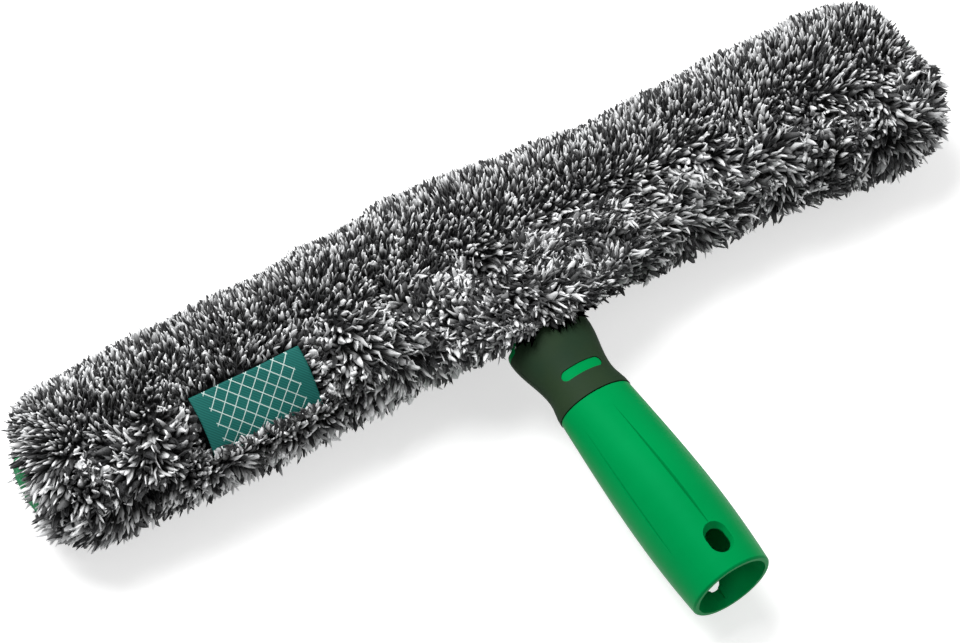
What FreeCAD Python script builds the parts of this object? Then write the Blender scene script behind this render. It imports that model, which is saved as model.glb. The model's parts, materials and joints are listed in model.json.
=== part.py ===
import FreeCAD, Part

import math
import os

# A window scrubber: a pile sleeve drawn over a T-bar, which swivels on a short pole handle.
# All sizes are in millimetres. The handle lies along Y with the mouth of its pole socket in the
# plane Y = 0, the bar lies along X and the front of the tool faces +Z.

# Pole socket and grip
socket_radius = 14.1
socket_depth = 48.0
nose_depth = 72.0
nose_radius = 9.0
mouth_wall = 2.0
mouth_round = 2.0
mouth_round_lap = 0.3
grip_length = 86.5
belly_from_mouth = 36.0
belly_swell = 1.1
belly_flattening = 0.2
shoulder_from_mouth = 61.0
shoulder_half_width = 16.4
shoulder_half_depth = 14.8
collar_half_width = 14.9
collar_half_depth = 11.4
grip_rings = 16

# Finger grooves and the pole's button holes
groove_count = 6
groove_from_mouth = 15.0
groove_end_from_collar = 7.5
groove_depth = 1.0
groove_half_angle = 28.0
button_from_mouth = 12.5
button_width = 7.2
button_length = 10.2
button_flare = 1.2
guide_width = 3.2
guide_depth = 0.5
guide_from_mouth = 3.0

# Neck
neck_rim = 0.3
neck_gap = 0.4
waist_from_collar = 9.5
waist_half_width = 13.7
waist_half_depth = 10.6
flare_from_collar = 30.5
flare_half_width = 17.0
flare_half_depth = 12.6
flare_round = 6.5
flare_turn = 85.0
neck_steps = 4
cover_thickness = 1.6
cover_gap = 0.1
cover_corner = 12.0
seam_gap = 0.3
window_length = 17.0
window_width = 4.2
window_from_collar = 11.0
window_gap = 0.15
window_sink = 0.35
peg_radius = 1.4
peg_depth = 3.0
peg_spread = 5.0
upper_pegs_from_collar = 18.0
lower_peg_from_collar = 4.0

# Swivel
pivot_from_collar = 27.5
swivel_limit = 45.0
tongue_thickness = 6.0
hub_radius = 13.0
hub_gap = 0.5
stem_half_width = 8.0
stop_gap = 0.2
pin_radius = 4.0
running_gap = 0.05
washer_thickness = 0.8
washer_radius = 10.2
pin_head_radius = 6.0
pin_head_thickness = 1.8
pocket_gap = 0.3
cheek_web = 2.2
spring_height = 1.0
spring_thickness = 0.6
thread_radius = 2.9
nut_across_flats = 10.0
nut_thickness = 3.0

# T-bar
bar_from_pivot = 43.0
bar_half_length = 171.0
bar_half_height = 16.5
bar_half_depth = 8.5
bar_end_round = 12.0
bar_edge_round = 5.0
cell_count = 5
cell_rib = 7.0
cell_height = 19.0
first_cell = 40.0
last_cell_from_end = 27.0
stem_flare = 8.0

# Sleeve
bag_gap = 0.5
lining_thickness = 2.2
layer_gap = 0.3
pile_past_bar = 22.0
pile_lift = 1.2
pile_half_height = 32.8
pile_half_depth = 27.2
pile_crown = 5.0
crown_place = -24.0
crown_reach = 45.0
end_drop = 8.0
drop_reach = 62.0
dome_length = 30.0
dome_power = 3.0
dome_cap_share = 0.5
resting_flat = 0.5
neck_clearance = 0.6
overhang_half_length = 46.0
overhang_half_height = 15.5
overhang_half_depth = 7.0
overhang_drop = 9.0
parting_radius = 8.0
parting_depth = 4.0
parting_angle = 70.0
parting_length = 125.0
parting_from_end = 14.0
slit_clearance = 1.5
pad_half_height = 12.0
pad_half_depth = 9.0
pad_thickness = 4.5
pad_sink = 2.0
pad_bevel = 1.2
label_length = 44.5
label_width = 23.0
label_thickness = 0.7
label_from_end = 80.2
label_tilt = 44.0
tape_length = 75.0
tape_width = 14.0
tape_thickness = 1.3
tape_start = 32.0
binding_width = 3.2
binding_thickness = 1.6

# Places that follow from the sizes above
mouth_radius = socket_radius + mouth_wall
belly_radius = mouth_radius + belly_swell
collar = grip_length + neck_gap
flare = collar + flare_from_collar
neck_top = flare + flare_round
pivot = collar + pivot_from_collar
bar_centre = pivot + bar_from_pivot
tongue_half = tongue_thickness / 2
slot_half = tongue_half + washer_thickness + 2 * running_gap
cell_pitch = (bar_half_length - last_cell_from_end - first_cell) / (cell_count - 1)
cell_width = cell_pitch - cell_rib
pile_half_length = bar_half_length + pile_past_bar
label_centre = label_from_end - pile_half_length
cap_reach = (1 - dome_cap_share**dome_power) ** (1 / dome_power)
dome_start = pile_half_length - dome_length
cap_place = dome_start + dome_length * cap_reach
drop_start = dome_start - drop_reach
pile_centre = bar_centre + pile_lift
pile_bottom = pile_centre - pile_half_height
neck_room = flare_half_depth + neck_clearance
corner_height = flare - pivot
corner_width = flare_half_width - flare_round
clear_of_neck = 3 * flare_half_width
neck_sweep = math.hypot(corner_width, corner_height) + flare_round

vector = FreeCAD.Vector
along_x = vector(1, 0, 0)
along_y = vector(0, 1, 0)
along_z = vector(0, 0, 1)


def save(name, shape):
    """Writes one node, as a compound where it holds more than one solid."""
    shape.exportStep(os.path.join("parts", name + ".step"))


def mirrored(shape, normal):
    """The shape reflected in the plane through the origin with this normal."""
    return shape.mirror(vector(0, 0, 0), normal)


def turned(shape, angle, centre, axis):
    """A copy of the shape turned by an angle in degrees."""
    copy = shape.copy()
    copy.rotate(centre, axis, angle)
    return copy


def ring(centre, first, second):
    """An oval of four quarter arcs, spanned by its longer and its shorter half axis."""
    oval = Part.Ellipse(centre + first, centre + second, centre)
    quarter = math.pi / 2
    starts = [quarter * (step + 0.5) for step in range(4)]
    return Part.Wire([Part.ArcOfEllipse(oval, start, start + quarter).toShape() for start in starts])


def handle_ring(place, half_width, half_depth):
    """A ring round the handle's axis at a distance from the mouth."""
    return ring(vector(0, place, 0), vector(half_width, 0, 0), vector(0, 0, half_depth))


def cylinder(radius, low, high, x=0.0, y=0.0):
    """A cylinder along Z."""
    return Part.makeCylinder(radius, high - low, vector(x, y, low), along_z)


def block(low, high):
    """A box between two corners."""
    return Part.makeBox(high.x - low.x, high.y - low.y, high.z - low.z, low)


def prism(points, low, high):
    """A straight-sided outline in XY, drawn out along Z."""
    corners = [vector(x, y, low) for x, y in points]
    face = Part.Face(Part.makePolygon(corners + corners[:1]))
    return face.extrude(vector(0, 0, high - low))


def stadium(length, width, centre_y, height, upright):
    """A flat closed outline with round ends at height Z, its length along Y or X."""
    reach = (length - width) / 2
    radius = width / 2
    run = vector(0, reach, 0) if upright else vector(reach, 0, 0)
    side = vector(radius, 0, 0) if upright else vector(0, -radius, 0)
    tip = run * ((reach + radius) / reach)
    middle = vector(0, centre_y, height)
    far_arc = Part.Arc(middle + run + side, middle + tip, middle + run - side)
    near_arc = Part.Arc(middle - run - side, middle - tip, middle - run + side)
    far_side = Part.LineSegment(middle + run - side, middle - run - side)
    near_side = Part.LineSegment(middle - run + side, middle + run + side)
    return Part.Wire([far_arc.toShape(), far_side.toShape(), near_arc.toShape(), near_side.toShape()])


def grip_stations():
    """Half width, place and half depth of the grip from mouth to collar, nowhere deeper than wide."""
    curve = Part.BSplineCurve()
    curve.interpolate(
        [
            vector(mouth_radius, 0, mouth_radius),
            vector(belly_radius, belly_from_mouth, belly_radius - belly_flattening),
            vector(shoulder_half_width, shoulder_from_mouth, shoulder_half_depth),
            vector(collar_half_width, grip_length, collar_half_depth),
        ]
    )
    return [vector(size.x, size.y, min(size.x, size.z)) for size in curve.discretize(Number=grip_rings)]


def make_grip_body():
    """The swelling grip, round at the mouth and oval at the collar."""
    rings = [handle_ring(size.y, size.x, size.z) for size in grip_stations()]
    return Part.makeLoft(rings, True, True).cut(rim_cutter())


def rim_cutter():
    """A turned cutter that rounds the outer edge of the mouth and crosses both faces there."""
    centre_r = mouth_radius - mouth_round + mouth_round_lap
    centre_y = mouth_round - mouth_round_lap
    slant = mouth_round * math.sqrt(0.5)
    low = vector(centre_r, centre_y - mouth_round, 0)
    middle = vector(centre_r + slant, centre_y - slant, 0)
    high = vector(centre_r + mouth_round, centre_y, 0)
    wide = mouth_radius + 2 * mouth_round
    sides = [high, vector(wide, centre_y, 0), vector(wide, low.y, 0), low]
    outline = Part.Wire([Part.Arc(low, middle, high).toShape()] + Part.makePolygon(sides).Edges)
    return Part.Face(outline).revolve(vector(0, 0, 0), along_y, 360)


def ease(start, end, share):
    """A smooth step from one size to another."""
    return start + (end - start) * (1 - math.cos(math.pi * share)) / 2


def neck_envelope(inset, stretch):
    """The form of the neck, drawn in by an inset and stretched past both ends."""
    rim_width = collar_half_width + neck_rim - inset
    rim_depth = collar_half_depth + neck_rim - inset
    slim_width = waist_half_width - inset
    slim_depth = waist_half_depth - inset
    wide_width = flare_half_width - inset
    wide_depth = flare_half_depth - inset
    stations = []
    if stretch:
        stations.append((collar - stretch, rim_width, rim_depth))
    for step in range(neck_steps):
        share = step / neck_steps
        place = collar + waist_from_collar * share
        stations.append((place, ease(rim_width, slim_width, share), ease(rim_depth, slim_depth, share)))
    for step in range(2 * neck_steps):
        share = step / (2 * neck_steps)
        place = collar + waist_from_collar + (flare_from_collar - waist_from_collar) * share
        stations.append((place, ease(slim_width, wide_width, share), ease(slim_depth, wide_depth, share)))
    for step in range(2 * neck_steps):
        angle = math.radians(flare_turn * step / (2 * neck_steps - 1))
        place = flare + flare_round * math.sin(angle) / math.sin(math.radians(flare_turn))
        drawn_in = flare_round * (1 - math.cos(angle))
        stations.append((place, wide_width - drawn_in, wide_depth - drawn_in))
    if stretch:
        last = stations[-1]
        stations.append((neck_top + stretch, last[1], last[2]))
    return Part.makeLoft([handle_ring(*station) for station in stations], True, True)


def corner_blocks(shrink):
    """The two upper corners of the neck beyond the rounded corners of the covers."""
    centre_x = flare_half_width - cover_corner
    centre_y = neck_top - cover_corner
    low = vector(centre_x, flare - shrink, -clear_of_neck)
    corner = block(low, vector(clear_of_neck, neck_top + clear_of_neck, clear_of_neck))
    rounding = cylinder(cover_corner - shrink, -clear_of_neck, clear_of_neck, centre_x, centre_y)
    corner = corner.cut(rounding)
    return corner.fuse(mirrored(corner, along_x))


def fork_slot():
    """The room in the fork that the hub turns in and the stem swings through."""
    limit = math.radians(swivel_limit)
    ahead = vector(math.sin(limit), math.cos(limit), 0)
    below = vector(math.cos(limit), -math.sin(limit), 0) * (stem_half_width + stop_gap)
    inner = vector(0, pivot, 0) + below
    outer = inner + ahead * clear_of_neck
    points = [(inner.x, inner.y), (outer.x, outer.y), (-outer.x, outer.y), (-inner.x, inner.y)]
    swing = prism(points, -slot_half, slot_half)
    return swing.fuse(cylinder(hub_radius + hub_gap, -slot_half, slot_half, 0, pivot))


def peg_places():
    """X and Y of the moulded pegs that hold one neck cover."""
    yield -peg_spread, collar + upper_pegs_from_collar
    yield peg_spread, collar + upper_pegs_from_collar
    yield 0.0, collar + lower_peg_from_collar


def peg_floor():
    """Height of the inner ends of the cover pegs above the middle plane."""
    slimmest = min(waist_half_depth, collar_half_depth)
    return slimmest - cover_thickness - cover_gap - peg_depth


def grip_radius(place, angle):
    """Distance from the axis to the grip's skin, by way of its two half sizes there."""
    stations = grip_stations()
    for near, far in zip(stations, stations[1:]):
        if near.y <= place <= far.y:
            size = near + (far - near) * ((place - near.y) / (far.y - near.y))
    return size.x * size.z / math.hypot(size.z * math.sin(angle), size.x * math.cos(angle))


def groove_cutter(angle):
    """A V-shaped cutter along an arc that leaves the skin at both ends of one finger groove."""
    start = groove_from_mouth
    end = grip_length - groove_end_from_collar
    middle = (start + end) / 2
    outward = vector(math.sin(angle), 0, math.cos(angle))
    across = vector(math.cos(angle), 0, -math.sin(angle))
    first = outward * grip_radius(start, angle) + along_y * start
    lowest = outward * (grip_radius(middle, angle) - groove_depth) + along_y * middle
    last = outward * grip_radius(end, angle) + along_y * end
    path = Part.Arc(first, lowest, last)
    height = 4 * groove_depth
    half_width = height * math.tan(math.radians(groove_half_angle))
    rise = outward * height
    corners = [first, first + rise + across * half_width, first + rise - across * half_width, first]
    profile = Part.makePolygon(corners)
    return Part.Wire([path.toShape()]).makePipeShell([profile], True, False)


def button_cutter():
    """The oblong hole for a pole's spring button, flared at the skin, on the front side."""
    skin = mouth_radius + belly_swell / 2
    hole = stadium(button_length, button_width, button_from_mouth, 0, True)
    straight = Part.Face(hole).extrude(vector(0, 0, skin + belly_swell))
    inner = stadium(button_length, button_width, button_from_mouth, skin - 2 * button_flare, True)
    outer = stadium(
        button_length + 4 * button_flare,
        button_width + 4 * button_flare,
        button_from_mouth,
        skin + 2 * button_flare,
        True,
    )
    return straight.fuse(Part.makeLoft([inner, outer], True, True))


def guide_cutter():
    """The shallow guide track in the socket wall that leads a button to its hole."""
    low = vector(-guide_width / 2, guide_from_mouth, 0)
    high = vector(guide_width / 2, button_from_mouth, socket_radius + guide_depth)
    return block(low, high)


def pin_pocket():
    """The round pocket for the head of the pivot pin and its spring, in the front cheek."""
    return cylinder(pin_head_radius + pocket_gap, slot_half + cheek_web, flare_half_depth, 0, pivot)


def hexagon(across_flats, low, high):
    """A hexagonal prism on the pivot."""
    radius = across_flats / math.sqrt(3)
    points = []
    for step in range(6):
        angle = math.pi / 3 * step
        points.append((radius * math.cos(angle), pivot + radius * math.sin(angle)))
    return prism(points, low, high)


def make_handle_grip():
    """Grip, pole socket, neck core and fork, moulded in one piece."""
    core_inset = cover_thickness + cover_gap
    core = make_grip_body().fuse(neck_envelope(core_inset, 4 * neck_gap))
    above = vector(clear_of_neck, neck_top + clear_of_neck, clear_of_neck)
    core = core.cut(block(vector(-clear_of_neck, neck_top, -clear_of_neck), above))
    outer = neck_envelope(0, 0)
    core = core.fuse(outer.common(corner_blocks(0)))
    window = Part.Face(
        stadium(
            window_length - 2 * window_gap,
            window_width - 2 * window_gap,
            collar + window_from_collar,
            0,
            False,
        )
    ).extrude(vector(0, 0, flare_half_depth))
    core = core.fuse(neck_envelope(window_sink, 0).common(window))
    socket = Part.makeCylinder(socket_radius, socket_depth, vector(0, 0, 0), along_y)
    nose = Part.makeCone(
        socket_radius, nose_radius, nose_depth - socket_depth, vector(0, socket_depth, 0), along_y
    )
    button = button_cutter()
    guide = guide_cutter()
    cutters = [socket, nose, button, mirrored(button, along_z), guide, mirrored(guide, along_z)]
    for step in range(groove_count):
        cutters.append(groove_cutter(2 * math.pi * step / groove_count))
    cutters.append(fork_slot())
    cutters.append(cylinder(pin_radius + running_gap, -flare_half_depth, flare_half_depth, 0, pivot))
    cutters.append(pin_pocket())
    cutters.append(hexagon(nut_across_flats + 2 * running_gap, -flare_half_depth, -slot_half - cheek_web))
    for x, y in peg_places():
        hole = cylinder(peg_radius + cover_gap, peg_floor() - cover_gap, flare_half_depth, x, y)
        cutters.append(hole)
        cutters.append(mirrored(hole, along_z))
    for cutter in cutters:
        core = core.cut(cutter)
    return core


def make_neck_cover(front):
    """One of the two soft shells that clip over the neck, front or rear."""
    outer = neck_envelope(0, 0)
    inner = neck_envelope(cover_thickness, 4 * neck_gap)
    shell = outer.cut(inner)
    shell = shell.cut(corner_blocks(cover_gap))
    shell = shell.cut(fork_slot())
    above = vector(clear_of_neck, neck_top + clear_of_neck, clear_of_neck)
    keep = block(vector(-clear_of_neck, 0, seam_gap / 2), above)
    if not front:
        keep = mirrored(keep, along_z)
    cover = shell.common(keep)
    for x, y in peg_places():
        peg = cylinder(peg_radius, peg_floor(), flare_half_depth, x, y)
        if not front:
            peg = mirrored(peg, along_z)
        cover = cover.fuse(peg.common(outer))
    if front:
        outline = stadium(window_length, window_width, collar + window_from_collar, 0, False)
        cover = cover.cut(Part.Face(outline).extrude(vector(0, 0, 2 * flare_half_depth)))
    return cover.removeSplitter()


def make_pivot_pin():
    """Shouldered steel pin with a flat head and a threaded tail."""
    head_floor = slot_half + cheek_web + spring_height + 2 * running_gap
    tail = -slot_half - cheek_web - nut_thickness - running_gap
    shank_end = -slot_half - cheek_web + running_gap
    shank = cylinder(pin_radius, shank_end, head_floor, 0, pivot)
    head = cylinder(pin_head_radius, head_floor, head_floor + pin_head_thickness, 0, pivot)
    rim = [edge for edge in head.Edges if edge.BoundBox.ZMin > head_floor + pin_head_thickness / 2]
    head = head.makeChamfer(pin_head_thickness / 3, rim)
    thread = cylinder(thread_radius, tail, shank_end, 0, pivot)
    return shank.fuse(head).fuse(thread).removeSplitter()


def make_spring_washer():
    """A coned disc spring under the head of the pin."""
    low = slot_half + cheek_web + running_gap
    inner = pin_radius + 4 * running_gap
    outer = pin_head_radius
    rise = spring_height - spring_thickness
    corners = [
        vector(outer, 0, low),
        vector(outer, 0, low + spring_thickness),
        vector(inner, 0, low + spring_thickness + rise),
        vector(inner, 0, low + rise),
        vector(outer, 0, low),
    ]
    profile = Part.Face(Part.makePolygon(corners))
    profile.translate(vector(0, pivot, 0))
    return profile.revolve(vector(0, pivot, 0), along_z, 360)


def make_lock_nut():
    """The hexagon nut that sets the drag of the swivel."""
    high = -slot_half - cheek_web - running_gap
    nut = hexagon(nut_across_flats, high - nut_thickness, high)
    return nut.cut(cylinder(thread_radius + running_gap, high - 2 * nut_thickness, 0, 0, pivot))


def make_friction_washer():
    """One of two plain bearing discs between the hub and the cheeks, on the front side."""
    low = tongue_half + running_gap
    disc = cylinder(washer_radius, low, low + washer_thickness, 0, pivot)
    return disc.cut(cylinder(pin_radius + 2 * running_gap, low - 1, low + 2, 0, pivot))


def rounded_bar(grow):
    """The form of the bar grown by a distance: its round-ended outline, with rounded long edges."""
    half = vector(bar_half_length + grow, bar_half_height + grow, bar_half_depth + grow)
    middle = vector(0, bar_centre, 0)
    body = block(middle - half, middle + half)
    upright = [edge for edge in body.Edges if edge.BoundBox.ZLength > half.z]
    long_edges = [edge for edge in body.Edges if edge.BoundBox.XLength > half.x]
    outline = body.makeFillet(bar_end_round + grow, upright)
    return outline.common(body.makeFillet(bar_edge_round + grow, long_edges))


def make_t_bar():
    """Bar with open water cells, and the stem and hub that the handle swivels on."""
    bar = rounded_bar(0)
    cell_low = vector(first_cell - cell_width / 2, bar_centre - cell_height / 2, -2 * bar_half_depth)
    cell_high = vector(first_cell + cell_width / 2, bar_centre + cell_height / 2, 2 * bar_half_depth)
    cell = block(cell_low, cell_high)
    upright = [edge for edge in cell.Edges if edge.BoundBox.ZLength > bar_half_depth]
    cell = cell.makeFillet(cell_width / 4, upright)
    for step in range(cell_count):
        place = cell.copy()
        place.translate(vector(step * cell_pitch, 0, 0))
        bar = bar.cut(place).cut(mirrored(place, along_x))
    bar_foot = bar_centre - bar_half_height
    flare_foot = pivot + neck_sweep + neck_clearance
    wide = stem_half_width + stem_flare
    right = [
        (stem_half_width, pivot),
        (stem_half_width, flare_foot),
        (wide, bar_foot),
        (wide, bar_centre),
    ]
    left = [(-x, y) for x, y in reversed(right)]
    stem = prism(right + left, -tongue_half, tongue_half)
    hub = cylinder(hub_radius, -tongue_half, tongue_half, 0, pivot)
    bar = bar.fuse(stem).fuse(hub)
    bore = cylinder(pin_radius + running_gap, -tongue_thickness, tongue_thickness, 0, pivot)
    return bar.cut(bore).removeSplitter()


def stem_slit(clearance, top):
    """The room that the stem needs through the sleeve's lower side."""
    half_width = stem_half_width + stem_flare + clearance
    low = vector(-half_width, pivot, -tongue_half - clearance)
    return block(low, vector(half_width, top, tongue_half + clearance))


def make_sleeve_lining():
    """The fleece bag round the bar, open where the stem comes through."""
    bag = rounded_bar(bag_gap + lining_thickness).cut(rounded_bar(bag_gap))
    return bag.cut(stem_slit(slit_clearance, bar_centre))


def pile_ring(place, grow):
    """The outline of the pile across the sleeve: full above the neck, hanging at the right, drawn in at the ends."""
    share = max(0.0, (abs(place) - dome_start) / dome_length)
    drawn = (1 - share**dome_power) ** (1 / dome_power)
    crown = pile_crown * math.exp(-(((place - crown_place) / crown_reach) ** 2))
    drop = end_drop * min(1.0, max(0.0, (place - drop_start) / drop_reach))
    centre = pile_centre + (crown - drop) / 2
    across = vector(0, (pile_half_height + (crown + drop) / 2) * drawn + grow, 0)
    deep = vector(0, 0, pile_half_depth * drawn + grow)
    return ring(vector(place, centre, 0), across, deep)


def pile_places():
    """Places along the sleeve of the rings that its pile is drawn through."""
    dome = [dome_start + dome_length * cap_reach * math.sin(math.pi / 2 * step / 6) for step in range(7)]
    body = [drop_start * step / 5 for step in range(1, 6)]
    half = body + dome
    return [-place for place in reversed(half)] + [0.0] + half


def tape_box(level, grow):
    """One closing tape of the sleeve, at a level below the lining."""
    top = bar_centre - bar_half_height - bag_gap - lining_thickness - layer_gap
    high_y = top - level * (tape_thickness + layer_gap / 2)
    low = vector(tape_start - grow, high_y - tape_thickness - grow, -tape_width / 2 - grow)
    high = vector(tape_start + tape_length + grow, high_y + grow, tape_width / 2 + grow)
    return block(low, high)


def make_tape(level):
    """A tape with rounded corners."""
    tape = tape_box(level, 0)
    upright = [edge for edge in tape.Edges if edge.BoundBox.YLength > tape_thickness / 2]
    return tape.makeFillet(tape_width / 5, upright)


def make_opening_binding(grow):
    """The bound edge of the opening that the stem comes through."""
    top = bar_centre - bar_half_height - bag_gap - lining_thickness - layer_gap
    inner_length = 2 * (stem_half_width + stem_flare + slit_clearance)
    inner_width = tongue_thickness + 2 * slit_clearance
    outline = stadium(inner_length + 2 * binding_width, inner_width + 2 * binding_width, 0, 0, False)
    band = Part.Face(outline).extrude(vector(0, 0, binding_thickness + 2 * grow))
    if not grow:
        hole = block(
            vector(-inner_length / 2, -inner_width / 2, -1),
            vector(inner_length / 2, inner_width / 2, binding_thickness + 1),
        )
        band = band.cut(hole)
    band = turned(band, 90, vector(0, 0, 0), along_x)
    band.translate(vector(0, top + grow, 0))
    return band


def pad_ring(place, grow):
    """The outline of the right end pad, grown by a distance."""
    across = vector(0, pad_half_height + grow, 0)
    deep = vector(0, 0, pad_half_depth + grow)
    return ring(vector(place, bar_centre, 0), across, deep)


def pile_overhang():
    """The pile that hangs down in front of the neck."""
    rings = []
    for step in range(-3, 4):
        angle = math.radians(25 * step)
        centre = vector(overhang_half_length * math.sin(angle), 0, neck_room)
        centre.y = pile_bottom - overhang_drop + overhang_half_height
        across = vector(0, overhang_half_height * math.cos(angle), 0)
        rings.append(ring(centre, across, vector(0, 0, overhang_half_depth * math.cos(angle))))
    return Part.makeLoft(rings, True, True)


def pile_parting():
    """The groove along the lower front, deep near the left end and run out at its other end."""
    angle = math.radians(parting_angle)
    skin = vector(0, pile_centre - pile_half_height * math.sin(angle), pile_half_depth * math.cos(angle))
    outward = vector(0, -math.sin(angle) / pile_half_height, math.cos(angle) / pile_half_depth)
    outward.normalize()
    start = skin + outward * (parting_radius - parting_depth)
    start.x = parting_from_end - pile_half_length
    end = skin + outward * parting_radius
    end.x = start.x + parting_length
    return Part.makeCylinder(parting_radius, start.distanceToPoint(end), start, end - start)


def make_sleeve_pile():
    """The pile of the sleeve as one soft body, with its folds, opening, pockets and end seats."""
    pile = Part.makeLoft([pile_ring(place, 0) for place in pile_places()], True, True)
    pile = pile.fuse(pile_overhang()).cut(pile_parting())
    under_pile = vector(-clear_of_neck, pivot - clear_of_neck, -neck_room)
    pile = pile.cut(block(under_pile, vector(clear_of_neck, pile_bottom, neck_room)))
    pile = pile.cut(rounded_bar(bag_gap + lining_thickness + layer_gap))
    pile = pile.cut(stem_slit(slit_clearance, bar_centre))
    pile = pile.cut(cylinder(neck_sweep + neck_clearance, -neck_room, neck_room, 0, pivot))
    pile = pile.cut(tape_box(0, layer_gap)).cut(tape_box(1, layer_gap))
    pile = pile.cut(make_opening_binding(layer_gap))
    seat = Part.Face(pad_ring(cap_place - pad_sink, layer_gap)).extrude(vector(pad_thickness, 0, 0))
    pile = pile.cut(seat).cut(mirrored(seat, along_x))
    wide = 2 * pile_half_length
    under = vector(-wide, bar_centre - wide, -wide)
    return pile.cut(block(under, vector(wide, bar_centre + wide, resting_flat - pile_half_depth)))


def make_end_pad():
    """The scouring pad sewn to the right end of the sleeve."""
    root = cap_place - pad_sink
    face = root + pad_thickness
    rings = [pad_ring(root, 0), pad_ring(face - pad_bevel, 0), pad_ring(face, -pad_bevel)]
    return Part.makeLoft(rings, True, True)


def make_sewn_label():
    """The woven label that lies on the lower front of the sleeve."""
    reach = label_length / 2
    places = [label_centre - 1.2 * reach, label_centre, label_centre + 1.2 * reach]
    outer = Part.makeLoft([pile_ring(place, layer_gap + label_thickness) for place in places], True, True)
    inner = Part.makeLoft([pile_ring(place, layer_gap) for place in places], True, True)
    window = block(
        vector(label_centre - reach, bar_centre - label_width / 2, 0),
        vector(label_centre + reach, bar_centre + label_width / 2, 2 * pile_half_depth),
    )
    window = turned(window, label_tilt, vector(0, bar_centre, 0), along_x)
    return outer.cut(inner).common(window)


def build():
    os.makedirs("parts", exist_ok=True)
    save("handle_grip", make_handle_grip())
    save("neck_cover_front", make_neck_cover(True))
    save("neck_cover_rear", make_neck_cover(False))
    save("pivot_pin", make_pivot_pin())
    save("spring_washer", make_spring_washer())
    save("lock_nut", make_lock_nut())
    front_washer = make_friction_washer()
    save("friction_washer_front", front_washer)
    save("friction_washer_rear", mirrored(front_washer, along_z))
    save("t_bar", make_t_bar())
    save("sleeve_lining", make_sleeve_lining())
    save("sleeve_pile", make_sleeve_pile())
    right_pad = make_end_pad()
    save("end_pad_right", right_pad)
    save("end_pad_left", mirrored(right_pad, along_x))
    save("sewn_label", make_sewn_label())
    save("loop_tape", make_tape(0))
    save("hook_tape", make_tape(1))
    save("opening_binding", make_opening_binding(0))


build()
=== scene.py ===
"""Dresses a window scrubber: a pile sleeve on a T-bar that swivels in a short pole handle.

All sizes are in metres in the row frame. The mouth of the pole socket is at the origin, the
handle runs along +Y, the bar lies along X and the front of the tool faces +Z.
"""

import json
import logging
import math
from dataclasses import dataclass
from enum import Enum
from typing import Any

import bpy
import numpy as np
from mathutils import Matrix, Vector


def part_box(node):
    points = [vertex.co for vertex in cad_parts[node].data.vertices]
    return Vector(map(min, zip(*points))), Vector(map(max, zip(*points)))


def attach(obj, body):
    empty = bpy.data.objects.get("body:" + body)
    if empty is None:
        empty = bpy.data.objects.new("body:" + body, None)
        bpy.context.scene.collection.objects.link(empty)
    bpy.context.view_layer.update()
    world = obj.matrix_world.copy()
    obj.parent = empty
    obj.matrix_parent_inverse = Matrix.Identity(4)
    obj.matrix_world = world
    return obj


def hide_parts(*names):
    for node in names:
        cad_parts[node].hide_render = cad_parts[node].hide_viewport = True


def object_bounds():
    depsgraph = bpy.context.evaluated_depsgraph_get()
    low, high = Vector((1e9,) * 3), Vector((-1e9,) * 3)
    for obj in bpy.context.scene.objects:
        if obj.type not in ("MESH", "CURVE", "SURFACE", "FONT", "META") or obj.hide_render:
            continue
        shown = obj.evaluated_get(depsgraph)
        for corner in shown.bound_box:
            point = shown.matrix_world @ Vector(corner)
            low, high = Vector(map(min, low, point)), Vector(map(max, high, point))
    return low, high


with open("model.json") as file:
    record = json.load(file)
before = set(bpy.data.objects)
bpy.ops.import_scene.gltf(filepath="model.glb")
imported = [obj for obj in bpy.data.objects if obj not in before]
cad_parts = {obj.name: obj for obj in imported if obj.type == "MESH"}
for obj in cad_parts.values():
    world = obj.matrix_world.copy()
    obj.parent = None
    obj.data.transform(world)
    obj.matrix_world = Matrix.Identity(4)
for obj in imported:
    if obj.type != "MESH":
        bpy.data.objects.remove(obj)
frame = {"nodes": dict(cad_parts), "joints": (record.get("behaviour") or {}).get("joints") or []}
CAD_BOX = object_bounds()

log = logging.getLogger("window_scrubber")

MM = 0.001
PIVOT = frame["joints"][0]["pos_m"][1]  # the axis of the swivel along Y
BAKE_MAP = "OFBake"
TAPE_MAP = "tape"
YARN = "yarn"
WHITE = (1.0, 1.0, 1.0, 1.0)
RGBA = {"data_type": "RGBA"}
WAVE_TURN = 2 * math.pi / 20  # a wave texture turns by 20 radians over one unit at a scale of one


class Side(Enum):
    """The two ends of the sleeve, as signs along X."""

    LEFT = -1
    RIGHT = 1


def linear(colour: str) -> tuple[float, float, float, float]:
    """Turns an sRGB hex colour into a linear one.

    Args:
        colour: Six hex digits after a hash sign.

    Returns:
        Red, green, blue and an alpha of one, by the sRGB curve.
    """
    parts = [int(colour[place : place + 2], 16) / 255 for place in (1, 3, 5)]
    red, green, blue = [v / 12.92 if v <= 0.04045 else ((v + 0.055) / 1.055) ** 2.4 for v in parts]
    return red, green, blue, 1.0


def add_node(
    tree: bpy.types.NodeTree,
    kind: str,
    inputs: dict[str | int, Any] | None = None,
    settings: dict[str, Any] | None = None,
) -> bpy.types.Node:
    """Adds a shader node, sets it up and links it.

    Args:
        tree: The tree that gets the node.
        kind: The node's type name, without its usual beginning.
        inputs: Values for its inputs, or the outputs that feed them.
        settings: Values for its properties.

    Returns:
        The new node.
    """
    node = tree.nodes.new("ShaderNode" + kind)
    for name, value in (settings or {}).items():
        setattr(node, name, value)
    for name, value in (inputs or {}).items():
        if isinstance(value, bpy.types.NodeSocket):
            tree.links.new(value, node.inputs[name])
        else:
            node.inputs[name].default_value = value
    return node


def per_metre(size_mm: float) -> float:
    """The scale of a texture whose features are this many millimetres wide."""
    return 1000.0 / size_mm


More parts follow.
